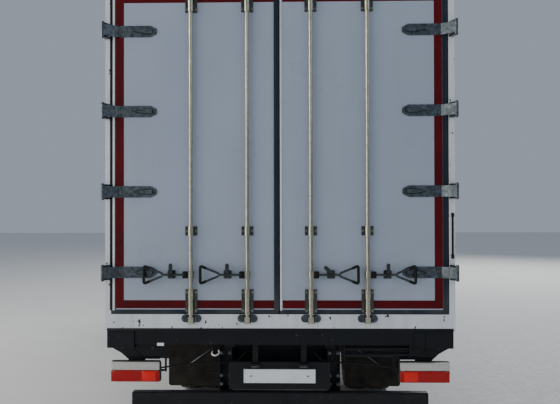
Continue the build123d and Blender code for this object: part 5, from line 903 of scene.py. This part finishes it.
# cab: window rubbers, door handles, mirrors, wipers, marker lamps, treads, grille bars
cab = {"half": 1.050, "belt": 1.500, "lean": 0.035 / 0.940, "screen": (3.9185, 1.9075, 0.1537, 0.9881),
       "rubber": 0.011, "window": ((2.710, 3.630), (1.540, 2.235), 0.060),
       "rearWindow": (0.450, (1.650, 2.030), 2.3505),
       "handle": (2.700, 1.425), "mirror": ((1.128, 1.272), (1.508, 1.952), 3.770), "wipers": (-0.62, 0.06),
       "markers": (-0.80, -0.18, 0.18, 0.80), "steps": (0.460, 0.680)}


def sideX(z):
    return cab["half"] - cab["lean"] * max(0.0, z - cab["belt"])


def onScreen(x, up, out):
    y, z, lean, rise = cab["screen"]
    return (x, y - lean * up + rise * out, z + rise * up + lean * out)


def makeCabTrim():
    side, rubber = cab["half"], cab["rubber"]
    screen = [onScreen(x, up, -0.004) for x, up in boxed((-0.86, 0.86), (-0.36, 0.36))]
    half, span, y = cab["rearWindow"]
    rear = [(x, y, z) for x, z in boxed((-half, half), span)]
    fit("screenRubbers", [rubberLoop(screen, rubber, 0.08), rubberLoop(rear, rubber, 0.08)], "sealRubber",
        "cab")
    (back, front), (low, high), bend = cab["window"]
    window = [(sideX(z) - 0.003, y, z) for y, z in boxed((back, front), (low, high))]
    sill = sideX(low) + 0.002
    door = [rubberLoop(window, 0.009, bend),
            rod((sill, back - 0.02, low - 0.012), (sill, front + 0.02, low - 0.012), 0.007, 10)]
    y, z = cab["handle"]
    grip = [(side + out, y + ahead, z)
            for out, ahead in ((0.002, 0), (0.030, 0.01), (0.030, 0.14), (0.002, 0.15))]
    door += [block((side - 0.003, y - 0.02, z - 0.034), (side + 0.004, y + 0.17, z + 0.034), 0.003),
             bentRod(grip, 0.0085, 0.012, 4),
             rod((side - 0.002, y + 0.075, z - 0.055), (side + 0.005, y + 0.075, z - 0.055), 0.011, 20)]
    fitPair("doorTrim", door, "blackPlastic", "cab_door")
    (inner, outer), (low, high), y = cab["mirror"]
    glass, trim = [], []
    for base, top in ((low + 0.150, high), (low, low + 0.150)):
        glass.append(block((inner + 0.006, y - 0.004, base + 0.006), (outer - 0.006, y - 0.0015, top - 0.006),
                           0.001, 1))
        trim.append(frameRing((inner, base), (outer, top), y + 0.001, 0.0055, -0.007, 0.0015))
    trim += [rod((1.135, 3.800, z), (1.135, 3.800, z + 0.0501), 0.014, 14) for z in (1.595, 1.855)]
    trim += [block((sideX(z) - 0.002, 3.765, z - 0.045), (sideX(z) + 0.010, 3.835, z + 0.045), 0.004)
             for z in (1.620, 1.880)]
    fit("mirrorGlass", bothSides(glass), "mirrorGlass", "cab")
    fit("mirrorTrim", bothSides(trim), "blackPlastic", "cab")
    wipers = []
    for x in cab["wipers"]:
        arm = [onScreen(x, -0.402, 0.014), onScreen(x + 0.10, -0.385, 0.024),
               onScreen(x + 0.40, -0.318, 0.012)]
        wipers += [rod(onScreen(x, -0.402, -0.002), onScreen(x, -0.402, 0.018), 0.017, 16, 0.003),
                   bentRod(arm, 0.0055, 0.03, 2),
                   rod(onScreen(x + 0.12, -0.362, 0.004), onScreen(x + 0.72, -0.262, 0.004), 0.006, 8),
                   rod(onScreen(x + 0.12, -0.366, -0.006), onScreen(x + 0.72, -0.266, -0.006), 0.003, 6)]
    fit("wipers", wipers, "gripBlack", "cab")
    lamps = [block((x - 0.045, 3.655, 2.437), (x + 0.045, 3.715, 2.466), 0.010, 3) for x in cab["markers"]]
    fit("roofMarkers", lamps, "lensAmber", "cab")
    lamps = [block((side - 0.002, 3.765, 1.215), (side + 0.016, 3.825, 1.275), 0.008, 3)]
    fit("sideIndicators", bothSides(lamps), "lensAmber", "cab")
    treads = []
    for z in cab["steps"]:
        treads.append(block((0.860, 3.500, z - 0.001), (1.042, 3.820, z + 0.005), 0.0015, 1))
        treads += [block((0.868, y - 0.006, z + 0.004), (1.038, y + 0.006, z + 0.010), 0.002, 1)
                   for y in evenly(3.52, 0.035, 9)]
    fit("stepTreads", bothSides(treads), "railAluminium")
    lip = [block((-0.90, 4.046, 0.829), (0.90, 4.092, 0.8345), 0.002, 1)]
    lip += [block((x - 0.012, 4.050, 0.834), (x + 0.012, 4.088, 0.837), 0.001, 1)
            for x in evenly(-0.88, 0.04, 45)]
    fit("bumperTread", lip, "blackPlastic")
    bars = [rod((x, 3.974, 1.022), (x, 3.974, 1.268), 0.003, 6) for x in evenly(-0.52, 0.04, 27)]
    fit("grilleBars", bars, "gripBlack", "cab")


makeHeadlamps()
makeCabTrim()
print("front lamps and cab trim done")


# box: rivets, side tape, marker lamps, corner castings
box = {"half": 1.2245, "wall": 1.220, "front": 2.178, "rear": -3.902, "rows": (1.048, 1.104, 3.476, 3.514),
       "pitch": 0.12, "rivet": 0.0055, "tape": (1.140, 1.188), "length": 0.28,
       "markers": (-3.3, -1.75, -0.2, 1.35), "castings": (1.086, 3.478), "inner": 1.140, "floor": 1.140}


def makeBoxTrim():
    half, wall, front, rear = (box[key] for key in ("half", "wall", "front", "rear"))
    pitch, length = box["pitch"], box["length"]
    ys = evenly(rear + 0.06, pitch, int((front - rear - 0.1) / pitch))
    row = scattered("rivetRow", dome(box["rivet"]), [(half - 0.0005, y, 0) for y in ys])
    rivets = [copyAt(row, (0, 0, z)) for z in box["rows"]]
    drop(row)
    places = [(half - 0.0005, front - 0.028, z) for z in evenly(1.2, pitch, 19)]
    rivets.append(scattered("rivetPost", dome(box["rivet"]), places))
    fit("boxRivets", bothSides(rivets), "railAluminium")
    (low, high), strips, y = box["tape"], [], rear + 0.15
    while y + length < front - 0.15:
        corners = ((y, low), (y + length, low), (y + length, high), (y, high))
        strips.append(plate([(wall, at, z) for at, z in corners], (0.0006, 0, 0)))
        y += length + 0.012
    fit("sideTape", bothSides(strips), "silverTape")
    bases = [block((half - 0.001, y - 0.062, 1.062), (half + 0.006, y + 0.062, 1.098), 0.004)
             for y in box["markers"]]
    fit("markerBases", bothSides(bases), "blackPlastic")
    lenses = [block((half + 0.002, y - 0.052, 1.067), (half + 0.016, y + 0.052, 1.093), 0.006, 3)
              for y in box["markers"]]
    fit("markerLenses", bothSides(lenses), "lensAmber")
    caps = [block((wall - 0.045, front - 0.05, z - 0.055), (half + 0.002, front + 0.006, z + 0.055), 0.012, 3)
            for z in box["castings"]]
    fit("cornerCastings", bothSides(caps), "railAluminium")


def makeLoadSpace():
    # lashing rails, kick rail, ribbed floor and the evaporator's housing
    inner, floor = box["inner"], box["floor"]
    rails = [block((inner - 0.012, -3.86, z - 0.018), (inner + 0.001, 2.05, z + 0.018), 0.002, 1)
             for z in (1.75, 2.55)]
    rails.append(block((inner - 0.010, -3.88, floor), (inner + 0.001, 2.06, floor + 0.22), 0.003, 1))
    fit("lashingRails", bothSides(rails), "railAluminium")
    ribs = [block((x - 0.012, -3.885, floor - 0.001), (x + 0.012, 2.06, floor + 0.004), 0.0015, 1)
            for x in evenly(-1.08, 0.06, 37)]
    fit("floorRibs", ribs, "railAluminium")
    case = block((-0.62, 1.66, 3.16), (0.62, 2.0975, 3.439), 0.03, 3)
    recess(case, -1, 0.04, 0.05, 0.1)
    blades = [rod((-0.58, 1.675, z), (0.58, 1.675, z), 0.004, 6) for z in evenly(3.215, 0.026, 7)]
    fit("evaporator", [case] + blades, "unitWhite")


# refrigeration unit: fan shrouds, fans, latches, hinges and the drain pipe
unit = {"z": 3.170, "fans": (-0.38, 0.38), "fan": 0.118, "blades": 7, "pitch": 24, "back": 2.552,
        "flap": 2.645, "shroud": ((0, -0.012), (0.006, 0.014), (0.012, 0.014), (0.010, -0.012), (0, -0.012)),
        "latches": (-0.78, -0.12, 0.12, 0.78), "clips": (1.3, 1.75, 2.2, 2.52),
        "pipe": ((0.62, 2.20, 2.722), (0.62, 2.20, 2.66), (0.66, 2.192, 2.55), (0.66, 2.192, 1.02))}


def makeUnitTrim():
    mid, fan, back, front, number = (unit[key] for key in ("z", "fan", "back", "flap", "blades"))
    fans = []
    for x in unit["fans"]:
        section = [(x + fan + out, back + ahead, mid) for out, ahead in unit["shroud"]]
        fans += [turned(section, (x, 0, mid), steps=40),
                 rod((x, back - 0.012, mid), (x, back + 0.010, mid), 0.034, 24, 0.004)]
        flat = block((x + 0.03, back - 0.004, mid - 0.024), (x + fan - 0.006, back - 0.001, mid + 0.024),
                     0.001, 1)
        turn = Matrix.Rotation(math.radians(unit["pitch"]), 4, "X")
        blade = copyAt(flat, (0, 0, 0), turn, (x, back - 0.002, mid))
        fans += [copyAt(blade, (0, 0, 0), Matrix.Rotation(2 * math.pi * n / number, 4, "Y"), (x, back, mid))
                 for n in range(number)]
        drop(flat, blade)
    fit("unitFans", fans, "gripBlack")
    small = [block((x - 0.012, front - 0.018, 2.838), (x + 0.012, front + 0.002, 2.872), 0.004)
             for x in unit["latches"]]
    small += [rod((side * 0.9005, y, z), (side * 0.904, y, z), 0.007, 12) for side in (-1, 1)
              for y in (2.21, 2.50)
              for z in (2.80, 3.10, 3.40)]
    fit("unitLatches", small, "brightZinc")
    clips = [block((0.642, 2.178, z - 0.012), (0.678, 2.206, z + 0.012), 0.003, 1) for z in unit["clips"]]
    fit("drainPipe", [bentRod(unit["pipe"], 0.011, 0.03)] + clips, "gripBlack")


makeBoxTrim()
makeLoadSpace()
makeUnitTrim()
print("box and unit dressed")


# fog lamps and front plate
bumper = {"fog": (0.560, 0.515, 0.046), "front": 4.100, "plate": (0.260, 0.056, 0.668), "seat": 4.0945,
          "screw": 0.20, "bowl": ((0, -0.072), (0.55, -0.064), (0.92, -0.030), (0.94, -0.012)),
          "rim": ((0.80, -0.011), (0.80, -0.003), (0.97, -0.001), (0.985, -0.020), (0.80, -0.011))}


def makeBumperTrim():
    (x, z, radius), front = bumper["fog"], bumper["front"]
    bowl, rim = ([(x + radius * out, front + y, z) for out, y in bumper[key]] for key in ("bowl", "rim"))
    bulb = rod((x, front - 0.070, z), (x, front - 0.044, z), 0.010, 14, 0.004)
    fit("fogBowls", bothSides([turned(bowl, (x, 0, z), steps=32), bulb]), "reflector")
    fit("fogRims", bothSides([turned(rim, (x, 0, z), steps=40)]), "gripBlack")
    lens = rod((x, front - 0.012, z), (x, front - 0.005, z), radius * 0.82, 40, 0.003)
    fit("fogLenses", bothSides([lens]), "lensClear")
    half, tall, mid = bumper["plate"]
    face = block((-half, bumper["seat"], mid - tall), (half, front - 0.0025, mid + tall), 0.0012)
    recess(face, 1, 0.006, -0.0008)
    fit("frontPlate", [face], "plateWhite")
    places = [(side * bumper["screw"], front - 0.0042, mid) for side in (-1, 1)]
    fitBolts("frontPlateScrews", places, (0, 1, 0), 0.004, "brightZinc", both=False)


makeBumperTrim()
print("front bumper dressed")


# chassis: rail bolts, tank cap and straps, battery lid, exhaust clamps, guard caps, pipes, spring nuts
chassis = {"rail": 0.3905, "railZ": (0.74, 0.86), "rails": (-3.7, 3.7, 0.22), "axle": 2.92,
           "tank": (-0.720, 1.350, 0.440, 0.880), "straps": (1.145, 0.655), "strapBolts": (0.635, 0.685),
           "battery": (0.650, 0.970, 0.840, 1.400, 0.520, 0.840), "silencer": (0.560, 0.600),
           "clamps": (-0.142, 0.642), "hangers": (0.0, 0.5),
           "tip": ((0.038, -0.55), (0.042, -0.55), (0.042, -0.50), (0.0385, -0.50), (0.038, -0.55)),
           "guard": (1.167, 1.195, (0.520, 0.760), (-1.050, 2.060)), "posts": (-0.614, 0.482, 1.579),
           "springs": (0.355, 0.046, 0.061, ((2.92, 0.5225), (-1.58, 0.5545)))}
# along the left rail, along the right rail, to the rear axle's chambers, to the lamps
pipes = ((((-0.372, 3.2, 0.872), (-0.372, 1.0, 0.872), (-0.366, -1.2, 0.866), (-0.366, -3.7, 0.866)), 0.009,
          0.05, 2, (1,)),
         (((0.372, 2.4, 0.862), (0.372, 0.2, 0.868), (0.372, -3.8, 0.868)), 0.012, 0.05, 2, (1,)),
         (((0.370, -0.95, 0.83), (0.372, -1.15, 0.72), (0.47, -1.22, 0.62), (0.48, -1.40, 0.525)), 0.008,
          0.06, 3, (-1, 1)),
         (((0.24, -3.9, 0.87), (0.30, -3.93, 0.80), (0.62, -3.955, 0.79), (0.85, -3.96, 0.76)), 0.006, 0.05,
          2, (-1, 1)))


def makeChassisTrim():
    c = chassis
    back, ahead, pitch = c["rails"]
    ys = [y for y in evenly(back, pitch, int((ahead - back) / pitch) + 1)
          if not 1.0 < abs(y - c["axle"]) < 1.01]
    fitBolts("railBolts", [(c["rail"], y, z) for y in ys for z in c["railZ"]], (1, 0, 0), 0.0085, "castSteel")
    x, front, low, high = c["tank"]
    tank = [rod((x - 0.09, front - 0.11, high + 0.028), (x - 0.09, front - 0.11, high + 0.052), 0.052, 28,
                0.006),
            block((x - 0.14, front - 0.118, high + 0.050), (x - 0.04, front - 0.102, high + 0.058), 0.003)]
    for y in c["straps"]:
        tank.append(block((x - 0.252, y - 0.020, 0.62), (x - 0.243, y + 0.020, 0.70), 0.003, 1))
        tank += [hexBolt((x - 0.252, y, z), (-1, 0, 0), 0.008) for z in c["strapBolts"]]
    for y in (front - 0.014, front - 0.886):
        seam = boxed((x - 0.2395, x + 0.2395), (low + 0.0005, high - 0.0005))
        tank.append(rubberLoop([(at, y, z) for at, z in seam], 0.0035, 0.055))
    fit("tankTrim", tank, "tankAluminium")
    inner, outer, back, ahead, base, top = c["battery"]
    lid = [block((inner - 0.006, back - 0.006, top - 0.055), (outer + 0.006, ahead + 0.006, top + 0.006),
                 0.012, 3)]
    lid += [block((outer + 0.004, y - 0.014, top - 0.10), (outer + 0.013, y + 0.014, top - 0.02), 0.003)
            for y in (back + 0.12, ahead - 0.12)]
    lid += [block((outer - 0.001, y - 0.004, base + 0.04), (outer + 0.004, y + 0.004, top - 0.11), 0.0015, 1)
            for y in evenly(back + 0.08, 0.05, 9)]
    fit("batteryLid", lid, "blackPlastic")
    x, z = c["silencer"]
    trim = [rod((x, y - 0.014, z), (x, y + 0.014, z), 0.046, 24, 0.003) for y in c["clamps"]]
    for y in c["hangers"]:
        trim.append(block((x - 0.02, y - 0.022, z - 0.124), (x + 0.02, y + 0.022, z - 0.108), 0.003, 1))
        trim.append(hexBolt((x, y, z - 0.124), (0, 0, -1), 0.008))
    trim.append(turned([(x + out, y, z) for out, y in c["tip"]], (x, 0, z), steps=28))
    fit("exhaustTrim", trim, "castSteel")
    inner, outer, rows, ends = c["guard"]
    caps = [block((inner + 0.001, y - 0.008, z - 0.044), (outer - 0.001, y + 0.008, z + 0.044), 0.005)
            for z in rows for y in ends]
    fit("guardCaps", bothSides(caps), "blackPlastic")
    places = [(outer, y, z + up) for y in c["posts"] for z in rows for up in (-0.022, 0.022)]
    fitBolts("guardBolts", places, (1, 0, 0), 0.008, "brightZinc")
    lines = [bentRod([(side * x, y, z) for x, y, z in path], radius, bend, sides)
             for path, radius, bend, sides, hands in pipes for side in hands]
    fit("airPipes", lines, "gripBlack")
    x, wide, long, seats = c["springs"]
    nuts = [(x + side * wide, y + end * long, z) for y, z in seats for side in (-1, 1) for end in (-1, 1)]
    fitBolts("springNuts", nuts, (0, 0, 1), 0.013, "castSteel")


# inside the cab: padded seats on their frames, instrument hood, vents, gear lever, pedals
seats = {"driver": -0.590, "bench": (0.150, 0.650), "cushion": (2.835, 1.3225, 0.485, 0.455, 0.095),
         "back": (2.530, 1.640, 0.485, 0.580, 0.068), "head": (2.452, 2.035, 0.27, 0.170, 0.065),
         "lean": 0.2235,
         "channels": (-0.075, 0.075), "stitches": ((0.016, 0.0035), (0.009, 0.0045)), "blow": 4, "frames": 16,
         "cap": 0.026, "cell": 0.012,
         "feet": ((-0.590, 0.195, 1.011), (0.150, 0.145, 1.221), (0.650, 0.205, 1.011))}
inside = {"hub": (-0.590, 3.330, 1.560), "tilt": 35, "vents": (-0.88, -0.14, 0.14, 0.88),
          "slats": (0.018, 0.034, 0.050), "knobs": (-0.07, 0.0, 0.07), "pedals": (-0.72, -0.60, -0.49),
          "lever": ((-0.20, 3.25, 1.218), (-0.20, 3.24, 1.42), (-0.21, 3.19, 1.50))}


def makePad(width, length, thick):
    # sewn cushion: a block blown up as cloth, held to a cap, then stitched along its channels
    s = seats
    pad = block((-width / 2, -length / 2, -thick / 2), (width / 2, length / 2, thick / 2),
                min(0.03, thick * 0.35), 3)
    grab(pad)
    cells = pad.modifiers.new("cells", "REMESH")
    cells.mode, cells.voxel_size = "VOXEL", s["cell"]
    bpy.ops.object.modifier_apply(modifier=cells.name)
    flat = [vert.co.copy() for vert in pad.data.vertices]
    cloth = pad.modifiers.new("blown", "CLOTH")
    cloth.settings.use_pressure, cloth.settings.uniform_pressure_force = True, s["blow"]
    cloth.settings.effector_weights.gravity = 0
    for at in range(1, s["frames"] + 1):
        bpy.context.scene.frame_set(at)
    grab(pad)
    bpy.ops.object.modifier_apply(modifier=cloth.name)
    bpy.context.scene.frame_set(1)
    for vert, start in zip(pad.data.vertices, flat):
        move = vert.co - start
        if move.length > s["cap"]:
            vert.co = start + move * (s["cap"] / move.length)
    middle = sum((vert.co for vert in pad.data.vertices), Vector()) / len(pad.data.vertices)
    for vert in pad.data.vertices:
        vert.co -= middle
    for reach, deep in s["stitches"]:
        pick(pad, lambda vert: vert.co.z > thick * 0.30
             and any(abs(vert.co.x - at) < reach for at in s["channels"])
             and abs(vert.co.y) < length / 2 - 0.045, "verts")
        bpy.ops.transform.shrink_fatten(value=-deep)
    grab(pad)
    smooth = pad.modifiers.new("smooth", "SUBSURF")
    smooth.levels = smooth.render_levels = 1
    bpy.ops.object.modifier_apply(modifier=smooth.name)
    bpy.ops.object.shade_smooth()
    return pad


def makeSeats():
    s = seats
    upright = Matrix.Rotation(math.pi / 2 + s["lean"], 4, "X")
    made = []
    for part in ("cushion", "back", "head"):
        y, z, width, length, thick = s[part]
        pad = makePad(width, length, thick)
        for name, x in zip(("Driver", "Middle", "Outer"), (s["driver"],) + s["bench"]):
            twin = copyAt(pad, (x, y, z), None if part == "cushion" else upright)
            twin.name = twin.data.name = part + "Pad" + name
            made.append(twin)
        drop(pad)
    for pad in made:
        ride(pad, "cab", "seatCloth")
    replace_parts(made[0], "seats")
    frames = []
    for x, half, foot in s["feet"]:
        frames += [rod((x + side * 0.06, 2.492, 1.88), (x + side * 0.06, 2.462, 2.00), 0.006, 10)
                   for side in (-1, 1)]
        frames += [block((x + side * 0.246 - 0.012, 2.600, 1.235), (x + side * 0.246 + 0.012, 2.760, 1.345),
                         0.010, 3)
                   for side in (-1, 1)]
        frames += [block((x - 0.225, 2.640, 1.232), (x + 0.225, 3.030, 1.268), 0.010),
                   block((x - half, 2.630, foot), (x + half, 2.990, 1.238), 0.012, 3)]
    fit("seatFrames", frames, "blackPlastic", "cab")


def makeDashTrim():
    x, y, z = inside["hub"]
    hood = block((x - 0.22, 3.535, 1.455), (x + 0.22, 3.700, 1.545), 0.02, 3)
    recess(hood, -1, 0.012, 0.03)
    trim = [hood, block((-0.11, 3.530, 1.25), (0.11, 3.552, 1.32), 0.006),
            bentRod(inside["lever"], 0.009, 0.06),
            rod((-0.212, 3.182, 1.497), (-0.226, 3.160, 1.535), 0.021, 20, 0.008)]
    for mid in inside["vents"]:
        trim.append(frameRing((mid - 0.07, 1.335), (mid + 0.07, 1.405), 3.548, 0.008, -0.012, 0.002))
        trim += [block((mid - 0.064, 3.538, 1.335 + up), (mid + 0.064, 3.548, 1.339 + up), 0.001, 1)
                 for up in inside["slats"]]
    trim += [rod((at, 3.520, 1.285), (at, 3.532, 1.285), 0.013, 20, 0.002) for at in inside["knobs"]]
    trim += [block((at - 0.035, 3.55, 1.06), (at + 0.035, 3.575, 1.14), 0.006) for at in inside["pedals"]]
    fit("dashTrim", trim, "gripBlack", "cab")
    pad = rod((x, y, z + 0.016), (x, y, z + 0.034), 0.062, 32, 0.008)
    boss = copyAt(pad, (0, 0, 0), Matrix.Rotation(math.radians(inside["tilt"]), 4, "X"), (x, y, z))
    drop(pad)
    fit("wheelPad", [boss], "gripBlack", "steering_wheel")


makeChassisTrim()
makeSeats()
makeDashTrim()
print("chassis and cab interior done")
